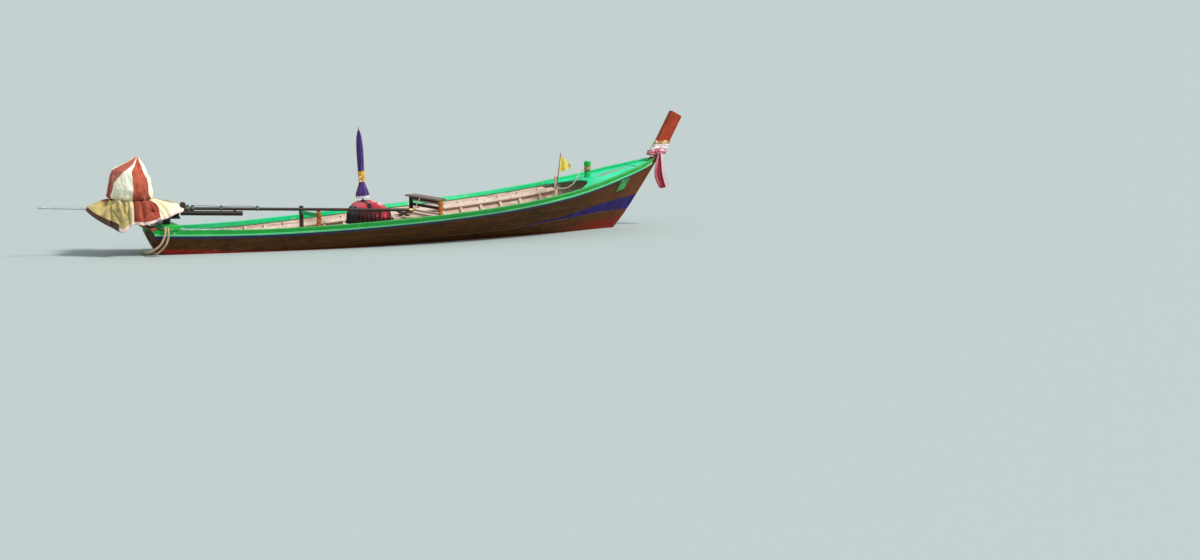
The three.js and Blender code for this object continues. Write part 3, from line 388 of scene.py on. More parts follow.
# Brushed enamel on timber: soft gloss with brush marks, scuffed to the undercoat and chipped to the wood
def enamel(name, colour, scuff, wear=0.6, roughness=0.36, patch=0.16):
    material, tree, shader = newMaterial(name)
    base = mixed(tree, dappled(tree, 0.45, 0.3, 0.7), darker(colour, 0.74), colour)
    brushed = grain(tree, 0.3, 0.008)
    base = tinted(tree, base, ramp(tree, brushed, 0.4, 0.75), darker(colour, 0.55), 0.25)
    base = tinted(tree, base, dappled(tree, patch, wear, wear + 0.05, 8.0, 0.7), scuff)
    base = tinted(tree, base, dappled(tree, 0.03, 0.69, 0.71, 5.0), "#6A4A30")
    rough = times(tree, dappled(tree, 0.1, 0.2, 0.9), 0.25)
    fill(tree, shader, {"Base Color": base, "Roughness": plus(tree, rough, roughness - 0.1)})
    bump(tree, shader, brushed, 0.2, 0.001)
    return material


# Lines along the side of the hull, each as distance along the boat and height, in metres
sideLines = {
    "seam": [(-4.7, 0.15), (-3.0, 0.1), (-1.2, 0.093), (0.7, 0.125), (1.8, 0.155), (2.6, 0.235),
             (3.4, 0.31), (5.0, 0.4)],
    "bandTop": [(1.6, 0.17), (2.16, 0.2), (2.51, 0.262), (2.73, 0.295), (2.94, 0.326), (3.16, 0.37),
                (3.38, 0.413), (3.6, 0.475), (3.84, 0.515), (4.09, 0.552), (4.34, 0.585), (4.66, 0.615),
                (5.2, 0.66)],
    "bandLow": [(1.6, 0.17), (2.16, 0.185), (2.53, 0.232), (2.96, 0.28), (3.2, 0.288), (3.42, 0.306),
                (3.66, 0.33), (3.9, 0.352), (4.3, 0.35), (4.54, 0.345), (5.2, 0.36)],
    "bootTop": [(-4.8, 0.12), (-4.2, 0.095), (-3.9, 0.075), (-3.2, 0.03), (-2.1, 0.02), (0.0, 0.012),
                (3.0, 0.02), (5.0, 0.02)],
}


# Varnished planks: deep brown, streaked, with seams and plugs, a bow band and a boot top, pale inside
def hullSide():
    material, tree, shader = newMaterial("varnishedPlanks")
    x, y, z = objectPlace(tree)[:3]
    heights = {line: curveOf(tree, x, -6, 6, points) for line, points in sideLines.items()}
    streaks = ramp(tree, grain(tree, 0.9, 0.02), 0.33, 0.7)
    base = mixed(tree, streaks, "#341A02", "#6C3E06")
    base = tinted(tree, base, ramp(tree, x, 2.4, 4.0), mixed(tree, streaks, "#442406", "#7C480C"))
    base = tinted(tree, base, ramp(tree, x, 4.3, 5.0), "#8E3410", 0.5)
    base = tinted(tree, base, times(tree, ramp(tree, x, 2.9, 3.9), ramp(tree, z, 0.26, 0.12)), "#8A2008")
    base = tinted(tree, base, dappled(tree, 0.5, 0.5, 0.75), "#1C0C04", 0.5)
    sunned = ramp(tree, speckle(tree, (0.7, 0.3, 0.09), 5.0), 0.56, 0.74)
    base = tinted(tree, base, sunned, "#7A4A1C", 0.45)
    runs = ramp(tree, speckle(tree, (0.035, 0.035, 0.5), 4.0), 0.58, 0.72)
    base = tinted(tree, base, runs, "#140A05", 0.4)
    fromSeam = minus(tree, z, heights["seam"])
    planks = zigzag(tree, fromSeam, 0.085)
    groove = ramp(tree, planks, 0.0, 0.004)
    base = tinted(tree, base, inverse(tree, groove), "#0E0603")
    alongPlugs = ramp(tree, zigzag(tree, x, 0.195), 0.009, 0.006)
    upPlugs = ramp(tree, math2(tree, "ABSOLUTE", minus(tree, planks, 0.045)), 0.009, 0.006)
    base = tinted(tree, base, times(tree, alongPlugs, upPlugs), "#160A04", 0.8)
    paleSeam = times(tree, within(tree, fromSeam, -0.008, 0.008, 0.003), ramp(tree, x, -1.5, 0.8))
    base = tinted(tree, base, paleSeam, "#6E5648", 0.7)
    inBand = times(tree, ramp(tree, minus(tree, heights["bandTop"], z), 0.0, 0.008),
                   ramp(tree, minus(tree, z, heights["bandLow"]), 0.0, 0.008))
    inBand = times(tree, inBand, ramp(tree, x, 2.0, 2.3))
    bandPaint = mixed(tree, dappled(tree, 0.25, 0.4, 0.7), "#241258", "#3A2C84")
    base = tinted(tree, base, times(tree, inBand, dappled(tree, 0.06, 0.70, 0.62, 7.0, 0.7)), bandPaint)
    bootPaint = mixed(tree, dappled(tree, 0.12, 0.4, 0.65), "#7A1008", "#A42C14")
    base = tinted(tree, base, ramp(tree, minus(tree, heights["bootTop"], z), -0.004, 0.006), bootPaint)
    normal = add(tree, "ShaderNodeTexCoord").outputs["Normal"]
    facing = add(tree, "ShaderNodeSeparateXYZ", {0: normal}).outputs[1]
    inboard = ramp(tree, times(tree, facing, math2(tree, "SIGN", y)), 0.0, -0.02)
    pale = mixed(tree, ramp(tree, grain(tree, 0.6, 0.03), 0.35, 0.7), "#C09C86", "#E8D4C4")
    pale = tinted(tree, pale, dappled(tree, 0.2, 0.55, 0.7, 6.0), "#8A7058", 0.4)
    pale = tinted(tree, pale, inverse(tree, ramp(tree, zigzag(tree, z, 0.075), 0.0, 0.006)), "#6A5040")
    base = tinted(tree, base, inboard, pale)
    fill(tree, shader, {"Base Color": base, "Roughness": 0.6, "Specular IOR Level": 0.2})
    bump(tree, shader, plus(tree, groove, times(tree, streaks, 0.15)), 0.5, 0.004)
    return material


# Antifouling paint below the water: matt, chalky, with weed stains
def antifouling():
    material, tree, shader = newMaterial("antifoulingPaint")
    base = mixed(tree, dappled(tree, 0.3, 0.4, 0.7, 8.0), "#6A0E08", "#9C2E18")
    base = tinted(tree, base, dappled(tree, 0.09, 0.6, 0.75, 6.0), "#26361C", 0.5)
    base = tinted(tree, base, ramp(tree, grain(tree, 0.25, 0.006), 0.68, 0.72), "#B06A50", 0.6)
    fill(tree, shader, {"Base Color": base, "Roughness": 0.85})
    bump(tree, shader, blotches(tree, 0.03, 6.0), 0.4, 0.003)
    return material


# Deck enamel: bright sea green, worn to grey and pink wood where ropes rub, a dark line across it near the
# bow
def deckPaint():
    material, tree, shader = newMaterial("deckEnamel")
    x, y = objectPlace(tree)[:2]
    base = mixed(tree, dappled(tree, 0.5, 0.3, 0.7), "#0ED892", "#26FCB6")
    base = tinted(tree, base, dappled(tree, 0.2, 0.6, 0.66, 9.0, 0.72), "#7FA894")
    trodden = times(tree, within(tree, x, 4.0, 4.66, 0.08), within(tree, y, -0.1, 0.1, 0.05))
    trodden = times(tree, trodden, ramp(tree, speckle(tree, (0.25, 0.06, 0.2), 7.0, 0.7), 0.44, 0.54))
    base = tinted(tree, base, trodden, mixed(tree, dappled(tree, 0.07, 0.4, 0.6), "#8E8E80", "#B88E84"))
    # A dark line across the deck near the bow
    fromDarkLine = math2(tree, "ABSOLUTE", minus(tree, x, 4.73))
    base = tinted(tree, base, ramp(tree, fromDarkLine, 0.02, 0.012), "#0E5A48")
    seams = ramp(tree, zigzag(tree, y, 0.07), 0.0, 0.003)
    base = tinted(tree, base, inverse(tree, seams), "#0A7A5C", 0.5)
    fill(tree, shader, {"Base Color": base, "Roughness": 0.42})
    bump(tree, shader, seams, 0.4, 0.002)
    return material


# Timber in zones of colour: axis, low and high bound in metres, a colour and a lighter one
def zonedTimber(name, dark, light, zones):
    material, tree, shader = newMaterial(name)
    place = objectPlace(tree)
    fibres = grain(tree, 0.08, 0.02)
    streaks = ramp(tree, fibres, 0.35, 0.68)
    base = mixed(tree, streaks, dark, light)
    for axis, low, high, first, second in zones:
        inside = within(tree, place["XYZ".index(axis)], low, high, 0.0005)
        base = tinted(tree, base, inside, mixed(tree, streaks, first, second))
    base = tinted(tree, base, dappled(tree, 0.07, 0.6, 0.7, 8.0, 0.7), darker(dark, 0.5), 0.5)
    fill(tree, shader, {"Base Color": base, "Roughness": 0.7})
    bump(tree, shader, fibres, 0.3, 0.002)
    return material


# Painted steel: dull dark paint with rust bleeding through in matt patches
def rustySteel(name, colour, rust="#6A3216", amount=0.54):
    material, tree, shader = newMaterial(name)
    speck = dappled(tree, 0.012, 0.62, 0.68)
    eaten = math2(tree, "MAXIMUM", dappled(tree, 0.06, amount, amount + 0.12, 8.0, 0.7), speck)
    fill(tree, shader, {"Base Color": mixed(tree, eaten, colour, rust),
                        "Metallic": times(tree, inverse(tree, eaten), 0.3),
                        "Roughness": plus(tree, times(tree, eaten, 0.35), 0.5)})
    bump(tree, shader, blotches(tree, 0.01, 6.0), 0.3, 0.001)
    return material


# Bare metal, drawn tube or cast bronze: dulled by salt in patches
def bareMetal(name, colour, roughness):
    material, tree, shader = newMaterial(name)
    base = mixed(tree, dappled(tree, 0.05, 0.35, 0.7, 6.0), colour, darker(colour, 0.6))
    fill(tree, shader, {"Base Color": base, "Metallic": 1.0, "Roughness": roughness})
    bump(tree, shader, blotches(tree, 0.008, 4.0), 0.2, 0.0005)
    return material


# Woven cloth, plain weave: matt with a soft sheen, threads 4 mm wide so that they show, faded in patches
def cloth(name, colour, faded, sheen=0.3, stripes=None, thread=0.004):
    material, tree, shader = newMaterial(name)
    base = mixed(tree, dappled(tree, 0.15, 0.35, 0.7), colour, faded)
    if stripes:
        base = stripes(tree, base)
    fill(tree, shader, {"Base Color": base, "Roughness": 0.9, "Sheen Weight": sheen})
    inputs = {"Vector": objectPoint(tree), "Scale": 0.314 / thread, "Distortion": 0.4}
    warp, weft = (add(tree, "ShaderNodeTexWave", inputs, bands_direction=axis).outputs[1] for axis in "XZ")
    bump(tree, shader, math2(tree, "MAXIMUM", warp, weft), 0.25, 0.001)
    return material


varnishedPlanks = hullSide()
bottomPaint = antifouling()
deckEnamel = deckPaint()
# One green gunwale enamel in two copies: darker on starboard as painted shade, brighter on port as painted
# sunlight
nearGunwaleShaded = enamel("gunwaleEnamelPaintedShade", "#0DBC3C", "#8CD09A")
farGunwaleSunlit = enamel("gunwaleEnamelPaintedSunlit", "#12EA90", "#8FD8AE")
mintEnamel = enamel("rubRailEnamel", "#74EAA0", "#C8DCC4")
navyEnamel = enamel("stripEnamel", "#1A1A56", "#3A3560", 0.64)
plateEnamel = enamel("plateEnamel", "#1C9A3C", "#4CC07A", 0.52, 0.4, 0.05)
paleTimber = timber("bleachedTimber", "#C8A88C", "#E8D4C4")
ribTimber = timber("ribTimber", "#CDB298", "#EADACB", 0.8, 0.05, 0.05)
prowTimber = timber("prowTimber", "#8A2002", "#BC4008", 0.55, 0.3, 0.3)
orangeTimber = timber("orangeTimber", "#7A3410", "#B45E26")
darkTimber = timber("tarredTimber", "#1C120C", "#3C2618")
poleTimber = timber("poleTimber", "#6A4632", "#B8907A", 0.7, 0.2, 0.02)
seatTimber = timber("benchSeatTimber", "#66544C", "#96867A")
crutchTimber = zonedTimber("crutchTimber", "#7A3410", "#B45E26", [
    ("Z", 0.515, 0.605, "#129A50", "#1CCB74"), ("Y", 0.262, 0.4, "#2E1A10", "#4A2C1A"),
    ("Y", -0.4, -0.27, "#9A4614", "#CC742E"),
])
benchTimber = zonedTimber("benchTimber", "#5A2A14", "#8A4A24", [
    ("Z", 0.45, 0.495, "#D8B8A0", "#F0DCC8"), ("Z", 0.55, 0.62, "#201410", "#3A2820"),
    ("Z", 0.645, 0.68, "#9AA89A", "#C8D0C0"), ("Z", 0.688, 0.73, "#301C16", "#4E3028"),
    ("Y", -0.6, -0.478, "#A04E18", "#D0782E"), ("Y", 0.428, 0.6, "#1E1410", "#38241A"),
])
bollardTimber = zonedTimber("bollardTimber", "#12A85A", "#1ECB78", [
    ("Z", 1.066, 1.13, "#4A2A18", "#7A4A2A"), ("Z", 1.13, 1.158, "#C8B494", "#E0D0B4"),
    ("Z", 1.158, 1.3, "#0FA03C", "#20C452"),
])
darkSteel = rustySteel("tailSteel", "#332A26")
engineSteel = rustySteel("engineIron", "#2A2A2A", "#4A2A18", 0.6)
silencerSteel = rustySteel("silencerSteel", "#241C1A", "#5A3420", 0.52)
greySteel = rustySteel("clampSteel", "#56665E", "#6A4A30", 0.58)
brightTube = bareMetal("tillerTube", "#DCE0E4", 0.3)
bronze = bareMetal("propellerBronze", "#B08A4A", 0.35)
print("materials made")


# Merged copies of CAD nodes, smooth shaded, some with eased edges; each stands for its node
dressValues = {"merge": 2e-5, "flat": 0.3, "sharp": 32.0, "rounded": 35.0, "segments": 2}  # metres, degrees


def shadeEdges(bm, sharp):  # smooth, except where faces meet at more than sharp degrees
    for face in bm.faces:
        face.smooth = True
    for edge in bm.edges:
        edge.smooth = len(edge.link_faces) == 2 and edge.calc_face_angle() < math.radians(sharp)


def dressed(nodeName, material, sharp=dressValues["sharp"], bevel=0.0):
    bm = bmesh.new()
    bm.from_mesh(nodes[nodeName].data)
    bmesh.ops.remove_doubles(bm, verts=bm.verts, dist=dressValues["merge"])
    flat = math.radians(dressValues["flat"])
    bmesh.ops.dissolve_limit(bm, angle_limit=flat, verts=bm.verts, edges=bm.edges)
    shadeEdges(bm, sharp)
    piece = finished(nodeName + "_dressed", bm, material, bodyOf[nodeName])
    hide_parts(nodeName)
    if bevel:
        rounding = piece.modifiers.new("rounding", "BEVEL")
        rounding.width = bevel
        rounding.segments = dressValues["segments"]
        rounding.limit_method = "ANGLE"
        rounding.angle_limit = math.radians(dressValues["rounded"])


def paint(nodeName, material):
    mesh = nodes[nodeName].data
    mesh.materials.clear()
    mesh.materials.append(material)


# Hull and rigid pieces
for side in ("starboard", "port"):
    dressed("side_planking_" + side, varnishedPlanks)
    dressed("bottom_planking_" + side, bottomPaint)
    dressed("gunwale_" + side, nearGunwaleShaded if side == "starboard" else farGunwaleSunlit)
    dressed("rub_rail_" + side, mintEnamel)
    dressed("sheer_strip_" + side, navyEnamel)
    dressed("plate_" + side, plateEnamel)
    paint("ribs_" + side, ribTimber)
paintedNodes = {
    "transom": varnishedPlanks, "floorboards": paleTimber, "thwart_aft": paleTimber,
    "thwart_middle": paleTimber, "thwart_fore": paleTimber, "deck_box": darkTimber,
    "crossed_slats": darkTimber, "umbrella_tip": darkTimber, "flag_pole": poleTimber, "engine": engineSteel,
    "engine_bed": darkSteel, "pivot_socket": darkSteel, "swivel_yoke": darkSteel, "cover_pole": paleTimber,
    "umbrella_pole": darkSteel, "leaning_stick": paleTimber,
}
for nodeName, material in paintedNodes.items():
    paint(nodeName, material)
dressedNodes = [  # node, finish, eased edge in metres
    ("stem", varnishedPlanks, 0.0), ("keel", bottomPaint, 0.0), ("foredeck", deckEnamel, 0.0),
    ("stern_deck", deckEnamel, 0.0), ("prow_post", prowTimber, 0.012), ("stern_beam", orangeTimber, 0.006),
    ("engine_bearer", nearGunwaleShaded, 0.01), ("crutch", crutchTimber, 0.005),
    ("bench_frame", benchTimber, 0.003), ("bench_seat", seatTimber, 0.006),
    ("gangboard", paleTimber, 0.004), ("flag_post", paleTimber, 0.004), ("tail_tube", darkSteel, 0.003),
    ("silencer", silencerSteel, 0.004), ("tiller", brightTube, 0.003), ("propeller", bronze, 0.002),
    ("bollard", bollardTimber, 0.006),
]
for nodeName, material, bevel in dressedNodes:
    dressed(nodeName, material, 40, bevel)
print("hull and rigid pieces dressed")

# Frames of the parts that stand at an angle: places in metres, turns in degrees
frameValues = {
    "pivotLean": -5, "tailTurn": -6.5, "trunnions": 0.13, "tailDown": 7.5, "umbrella": (-0.65, 0.15, 0.69),
    "umbrellaLean": -3,
}
joints = {joint["name"]: joint for joint in frame["record"]["behaviour"]["joints"]}
swivelFrame = (Matrix.Translation(joints["swing"]["pos_m"]) @ turned("Y", frameValues["pivotLean"])
               @ turned("Z", frameValues["tailTurn"]))
motorFrame = (swivelFrame @ Matrix.Translation((0, 0, frameValues["trunnions"]))
              @ turned("Y", frameValues["tailDown"]))
umbrellaFrame = Matrix.Translation(frameValues["umbrella"]) @ turned("Y", frameValues["umbrellaLean"])

# Fittings on the tail: a bearing block, split clamps, small clips and the cable that they hold
tailValues = {
    "shaftLine": 0.075, "tubeRadius": 0.027, "block": (0.255, 0.345, 0.052, 0.072), "blockSink": 0.004,
    "cap": (0.05, 0.05, 0.02), "capRise": 0.006, "boltInset": (0.016, 0.014), "boltRise": 0.004,
    "boltHead": (0.008, 0.012), "clamps": ((0.385, 0.060), (0.475, 0.050)), "clampWall": 0.012,
    "clampEar": (0.8, 0.026, 0.030), "earRise": 0.022, "clampBolt": (0.006, 0.05), "clampBoltRise": 0.026,
    "clips": (0.98, 1.62), "clipLength": 0.035, "clipWall": 0.006, "clipEar": (0.03, 0.03, 0.028),
    "clipEarRise": 0.018, "ease": (0.008, 0.004, 0.003, 0.002), "cable": (0.30, 1.66), "cableRadius": 0.005,
    "cableSide": 0.012, "cableSteps": 80, "cablePitch": 0.03, "slack": 0.016, "heldFrom": 0.34,
    "heldEvery": 0.64,
}
tubeTop = tailValues["shaftLine"] + tailValues["tubeRadius"]


def easeEdges(bm, edges, bevel):
    bmesh.ops.bevel(bm, geom=edges, offset=bevel, affect="EDGES", segments=2, profile=0.5, material=-1)


def turnedRing(bm, x, length, radius, bevel):  # a short solid cylinder on the shaft line with eased rims
    place = Matrix.Translation((x, 0, tailValues["shaftLine"])) @ turned("Y", 90)
    sizes = {"radius1": radius, "radius2": radius, "depth": length}
    made = bmesh.ops.create_cone(bm, cap_ends=True, segments=32, matrix=place, **sizes)["verts"]
    rims = [e for e in bm.edges if all(v in made for v in e.verts) and abs(e.calc_face_angle(0)) > 1.2]
    easeEdges(bm, rims, bevel)


def easedBox(bm, centre, sizes, bevel):
    place = Matrix.Translation(centre) @ Matrix.Diagonal((*sizes, 1))
    made = bmesh.ops.create_cube(bm, size=1.0, matrix=place)["verts"]
    easeEdges(bm, list({e for v in made for e in v.link_edges}), bevel)


def hexBolt(bm, place, size):  # size: radius and length
    bmesh.ops.create_cone(bm, cap_ends=True, segments=6, radius1=size[0], radius2=size[0], depth=size[1],
                          matrix=place)


def tailFittings():  # a block on the tube, a cap on it and four bolt heads
    t = tailValues
    bm = bmesh.new()
    start, end, halfWidth, height = t["block"]
    insetX, insetY = t["boltInset"]
    middle = ((start + end) / 2, 0, tubeTop + height / 2 - t["blockSink"])
    top = middle[2] + height / 2
    easedBox(bm, middle, (end - start, 2 * halfWidth, height), t["ease"][0])
    easedBox(bm, (middle[0], 0, top + t["capRise"]), t["cap"], t["ease"][1])
    for x in (start + insetX, end - insetX):
        for y in (-halfWidth + insetY, halfWidth - insetY):
            hexBolt(bm, Matrix.Translation((x, y, top + t["boltRise"])), t["boltHead"])
    return bm


def clampFittings():  # rings round the tube, each with an ear; the two clamps are bolted through theirs
    t = tailValues
    bm = bmesh.new()
    earShare, earWidth, earHeight = t["clampEar"]
    for x, length in t["clamps"]:
        turnedRing(bm, x, length, t["tubeRadius"] + t["clampWall"], t["ease"][2])
        easedBox(bm, (x, 0, tubeTop + t["earRise"]), (length * earShare, earWidth, earHeight), t["ease"][2])
        for step in (-0.25, 0.25):
            foot = Matrix.Translation((x + step * length, 0, tubeTop + t["clampBoltRise"]))
            hexBolt(bm, foot @ turned("X", 90), t["clampBolt"])
    for x in t["clips"]:
        turnedRing(bm, x, t["clipLength"], t["tubeRadius"] + t["clipWall"], t["ease"][3])
        easedBox(bm, (x, 0, tubeTop + t["clipEarRise"]), t["clipEar"], t["ease"][2])
    return bm


def cableAlong():  # the cable lies on the tube and bows up a little between the clips
    t = tailValues
    start, end = t["cable"]
    route = []
    for i in range(t["cableSteps"] + 1):
        x = start + (end - start) * i / t["cableSteps"]
        bow = t["slack"] * abs(math.sin(math.pi * (x - t["heldFrom"]) / t["heldEvery"])) ** 0.7
        route.append(motorFrame @ Vector((x, t["cableSide"], tubeTop + t["cableRadius"] + bow)))
    return sweep(route, t["cableRadius"], t["cablePitch"], 12)[0]


def placed(bm, name, material):  # turned with the motor
    bmesh.ops.transform(bm, matrix=motorFrame, verts=bm.verts)
    bmesh.ops.recalc_face_normals(bm, faces=bm.faces)
    shadeEdges(bm, dressValues["rounded"])
    finished(name, bm, material, "motor")


placed(tailFittings(), "tail_bearing_block", darkSteel)
placed(clampFittings(), "tail_clamps", greySteel)
cableSheath = rustySteel("cableSheath", "#1C1C1E", "#3A2A20", 0.66)
finished("throttle_cable_clipped", cableAlong(), cableSheath, "motor")
print("tail fittings made")

# Engine cover: one sheet drawn up over its pole, in flat gores, gathered at the waist above a spread skirt
coverValues = {  # metres; waist, piping and seams as parts of the cloth
    "columns": 260, "rows": 150, "thickness": 0.003, "piping": (0.465, 0.955, 1.08, 1.335),
    "plainSeams": (0.751, 1.21), "pipingHeight": 0.007, "pipingWidth": 0.008, "waist": 0.70, "tuck": 0.18,
    "waistPleats": 19, "waistDepth": 0.012, "waistWidth": 0.035, "puff": 0.034, "puffAbove": 0.052,
    "puffWidth": 0.034, "groove": 0.026, "grooveWidth": 0.014, "skirtFolds": 13, "skirtDepth": 0.036,
    "gather": 0.026, "gatherAt": 0.885, "wrinkle": 0.015, "hemRoll": 0.004, "bend": 0.66,
    "bendDrop": 0.02, "bendSag": 0.05, "tautness": 0.75, "around": 2.2, "down": 1.6, "creaseFade": 0.2,
}
# Columns: place down the cloth, height above the trunnions, reach, shift aft
coverRows = [
    (0.00, 0.972, 0.012, 0.516), (0.07, 0.919, 0.075, 0.535), (0.16, 0.848, 0.166, 0.568),
    (0.29, 0.738, 0.290, 0.636), (0.33, 0.695, 0.312, 0.637), (0.45, 0.555, 0.362, 0.622),
    (0.57, 0.399, 0.388, 0.615), (0.64, 0.303, 0.376, 0.618), (0.70, 0.235, 0.345, 0.610),
]
# Columns: part of a turn from the tail, x and y in the motor's frame, height above the trunnions
coverHem = [
    (0.00, 0.335, 0.00, 0.137), (0.05, 0.26, 0.17, 0.080), (0.10, 0.09, 0.32, -0.03),
    (0.17, -0.20, 0.42, -0.10), (0.24, -0.50, 0.45, -0.16), (0.30, -0.80, 0.43, -0.20),
    (0.36, -1.05, 0.36, -0.14), (0.42, -1.28, 0.20, -0.02), (0.465, -1.405, -0.04, 0.060),
    (0.50, -1.31, -0.17, -0.035), (0.55, -1.10, -0.29, -0.165), (0.60, -0.945, -0.37, -0.240),
    (0.65, -0.79, -0.42, -0.315), (0.69, -0.68, -0.435, -0.22), (0.73, -0.60, -0.445, -0.165),
    (0.78, -0.445, -0.445, -0.172), (0.82, -0.295, -0.43, -0.150), (0.86, -0.175, -0.40, -0.10),
    (0.90, -0.01, -0.36, -0.055), (0.94, 0.145, -0.27, 0.005), (0.98, 0.305, -0.10, 0.045),
    (1.00, 0.335, 0.00, 0.137),
]
# Where the seam between the aft red gore and the cream one runs: place down the cloth, part of a turn
aftSeam = [
    (0.0, 0.725), (0.16, 0.712), (0.29, 0.680), (0.375, 0.636), (0.46, 0.596), (0.585, 0.583),
    (0.70, 0.556), (0.77, 0.502), (0.84, 0.474), (1.0, 0.47),
]
# Creases: points as part of a turn and place down the cloth, depth and half width; a ridge has a minus
coverCreases = [
    ([(0.800, 0.04), (0.848, 0.34), (0.802, 0.62)], 0.024, 0.020),
    ([(0.775, 0.40), (0.768, 0.68)], 0.014, 0.014), ([(0.890, 0.30), (0.880, 0.66)], 0.014, 0.016),
    ([(0.735, 0.56), (0.712, 0.71)], 0.018, 0.016), ([(0.690, 0.50), (0.655, 0.70)], 0.016, 0.018),
    ([(0.645, 0.58), (0.590, 0.70)], 0.018, 0.016), ([(0.545, 0.38), (0.520, 0.70)], 0.016, 0.018),
    ([(0.500, 0.30), (0.492, 0.69)], 0.015, 0.014),
    ([(0.600, 0.68), (0.560, 0.80), (0.585, 0.985)], 0.062, 0.022),
    ([(0.560, 0.74), (0.535, 0.80)], -0.045, 0.020), ([(0.635, 0.70), (0.640, 0.86)], -0.045, 0.034),
    ([(0.668, 0.66), (0.664, 0.90)], 0.038, 0.015), ([(0.640, 0.80), (0.690, 0.93)], 0.026, 0.014),
    ([(0.715, 0.69), (0.690, 0.90)], 0.034, 0.014), ([(0.700, 0.80), (0.700, 0.99)], -0.024, 0.022),
    ([(0.752, 0.69), (0.735, 1.00)], 0.050, 0.016), ([(0.778, 0.70), (0.762, 0.99)], -0.030, 0.018),
    ([(0.800, 0.70), (0.785, 0.99)], 0.042, 0.012), ([(0.840, 0.70), (0.805, 0.88)], -0.034, 0.026),
    ([(0.800, 0.84), (0.880, 0.93)], 0.034, 0.014), ([(0.815, 0.93), (0.870, 0.99)], -0.030, 0.016),
    ([(0.895, 0.70), (0.860, 0.99)], 0.046, 0.016), ([(0.930, 0.74), (0.915, 0.95)], -0.022, 0.030),
    ([(0.530, 0.72), (0.505, 0.96)], 0.040, 0.020), ([(0.490, 0.74), (0.480, 0.97)], -0.022, 0.018),
    ([(0.580, 0.86), (0.640, 0.95)], 0.024, 0.014),
]


def aroundWaist(u, v):
    angle = 2 * math.pi * u
    rows = min(v, coverValues["waist"])
    height, reach, shift = (between(coverRows, rows, c) for c in (1, 2, 3))
    seams = sorted([*coverValues["piping"], *coverValues["plainSeams"], between(aftSeam, v, 1)])
    turn = u if u >= seams[0] else u + 1
    seams.append(seams[0] + 1)
    i = max(i for i in range(len(seams) - 1) if seams[i] <= turn)
    half = math.pi * (seams[i + 1] - seams[i])
    off = 2 * math.pi * (turn - (seams[i] + seams[i + 1]) / 2)
    flat = coverValues["tautness"] * max(0.0, 1 - (rows / 0.72) ** 3)
    reach *= 1 - flat * (1 - math.cos(half) / math.cos(off))
    tuck = coverValues["tuck"] * clamped((v - 0.55) / 0.13)
    return Vector((-shift + reach * math.cos(angle), reach * (1 - tuck) * math.sin(angle), height))


def coverBase(u, v):
    waist = coverValues["waist"]
    ring = aroundWaist(u, v)
    if v > waist:
        s = (v - waist) / (1 - waist)
        hem = Vector([between(coverHem, u, c) for c in (1, 2, 3)])
        bend = ring.lerp(hem, coverValues["bend"])
        bend.z = ring.z - coverValues["bendDrop"] - coverValues["bendSag"] * abs(math.sin(math.pi * u))
        ring = ring * (1 - s) ** 2 + bend * (2 * s * (1 - s)) + hem * s * s
    return ring


def creaseDepth(u, v):
    depth = 0.0
    size = Vector((coverValues["around"], coverValues["down"]))
    fadeOver = coverValues["creaseFade"]
    for points, deep, width in coverCreases:
        if not min(p[0] for p in points) - 0.04 < u < max(p[0] for p in points) + 0.04:
            continue
        best, at = 9.0, 0.0
        for i, (a, b) in enumerate(zip(points, points[1:])):
            run = (Vector(b) - Vector(a)) * size
            here = (Vector((u, v)) - Vector(a)) * size
            t = clamped(here.dot(run) / run.length_squared)
            far = (here - run * t).length
            if far < best:
                best, at = far, (i + t) / (len(points) - 1)
        fade = min(1.0, at / fadeOver, (1 - at) / fadeOver if points[-1][1] < 0.98 else 1.0)
        depth += deep * fade * math.exp(-abs(best / width) ** 1.4)
    return depth


def bell(value, middle, width):  # 1 in the middle, falling off on both sides
    return math.exp(-((value - middle) / width) ** 2)


def coverPoint(u, v):
    c = coverValues
    waist = c["waist"]
    point = coverBase(u, v)
    step = 0.002
    alongU = coverBase(min(1.0, u + step), v) - coverBase(max(0.0, u - step), v)
    alongV = coverBase(u, min(1.0, v + step)) - coverBase(u, max(0.0, v - step))
    outward = alongV.cross(alongU).normalized()
    if outward.dot(Vector((point.x + 0.6, point.y, 0.3))) < 0:
        outward.negate()
    angle = 2 * math.pi * u
    a, b = math.cos(angle), math.sin(angle)
    s = max(0.0, (v - waist) / (1 - waist))
    out = -creaseDepth(u, v) * (1.0 if s else 0.8)
    pleats = math.sin(c["waistPleats"] * angle + 4 * soft(2 * a, 2 * b, 0, 8))
    out += c["waistDepth"] * bell(v, waist, c["waistWidth"]) * pleats
    puffed = 0.55 + 0.45 * math.sin(9 * angle + 3 * soft(2 * a, 2 * b, 0, 13))
    out += c["puff"] * puffed * bell(v, waist - c["puffAbove"], c["puffWidth"])
    out -= c["groove"] * bell(v, waist + 0.004, c["grooveWidth"])
    skirt = math.sin(c["skirtFolds"] * angle + 4 * soft(2 * a, 2 * b, v, 5))
    out += 0.5 * c["skirtDepth"] * min(1.0, 1.6 * s) * skirt
    gathered = bell(u, c["gatherAt"], 0.035) * s
    out += c["gather"] * gathered * math.sin(35 * angle + 3 * soft(3 * a, 3 * b, 4 * v, 11))
    out += c["wrinkle"] * (crumple(3 * a, 3 * b, 6 * v, 1) - 0.5) * (0.35 + 0.65 * min(1.0, v / 0.5))
    out += 0.35 * c["wrinkle"] * soft(9 * a, 9 * b, 24 * v, 2)
    for seam in c["piping"]:
        far = abs((u - seam + 0.5) % 1 - 0.5) * 2.3 * max(0.05, min(1.0, 2 * v))
        out += c["pipingHeight"] * bell(far, 0, c["pipingWidth"]) * (1 if s == 0 else 0.4)
    out += c["hemRoll"] * clamped((v - 0.975) / 0.01)
    return motorFrame @ (point + outward * out * min(1.0, v / 0.06))


# Seams that bound the red gore forward: place down the cloth, part of a turn
middleSeam = [(0.0, 0.751), (0.7, 0.751), (1.0, 0.730)]
foreSeam = [(0.0, 0.895), (0.18, 0.890), (0.4, 0.912), (0.585, 0.890), (0.7, 0.915), (1.0, 0.868)]
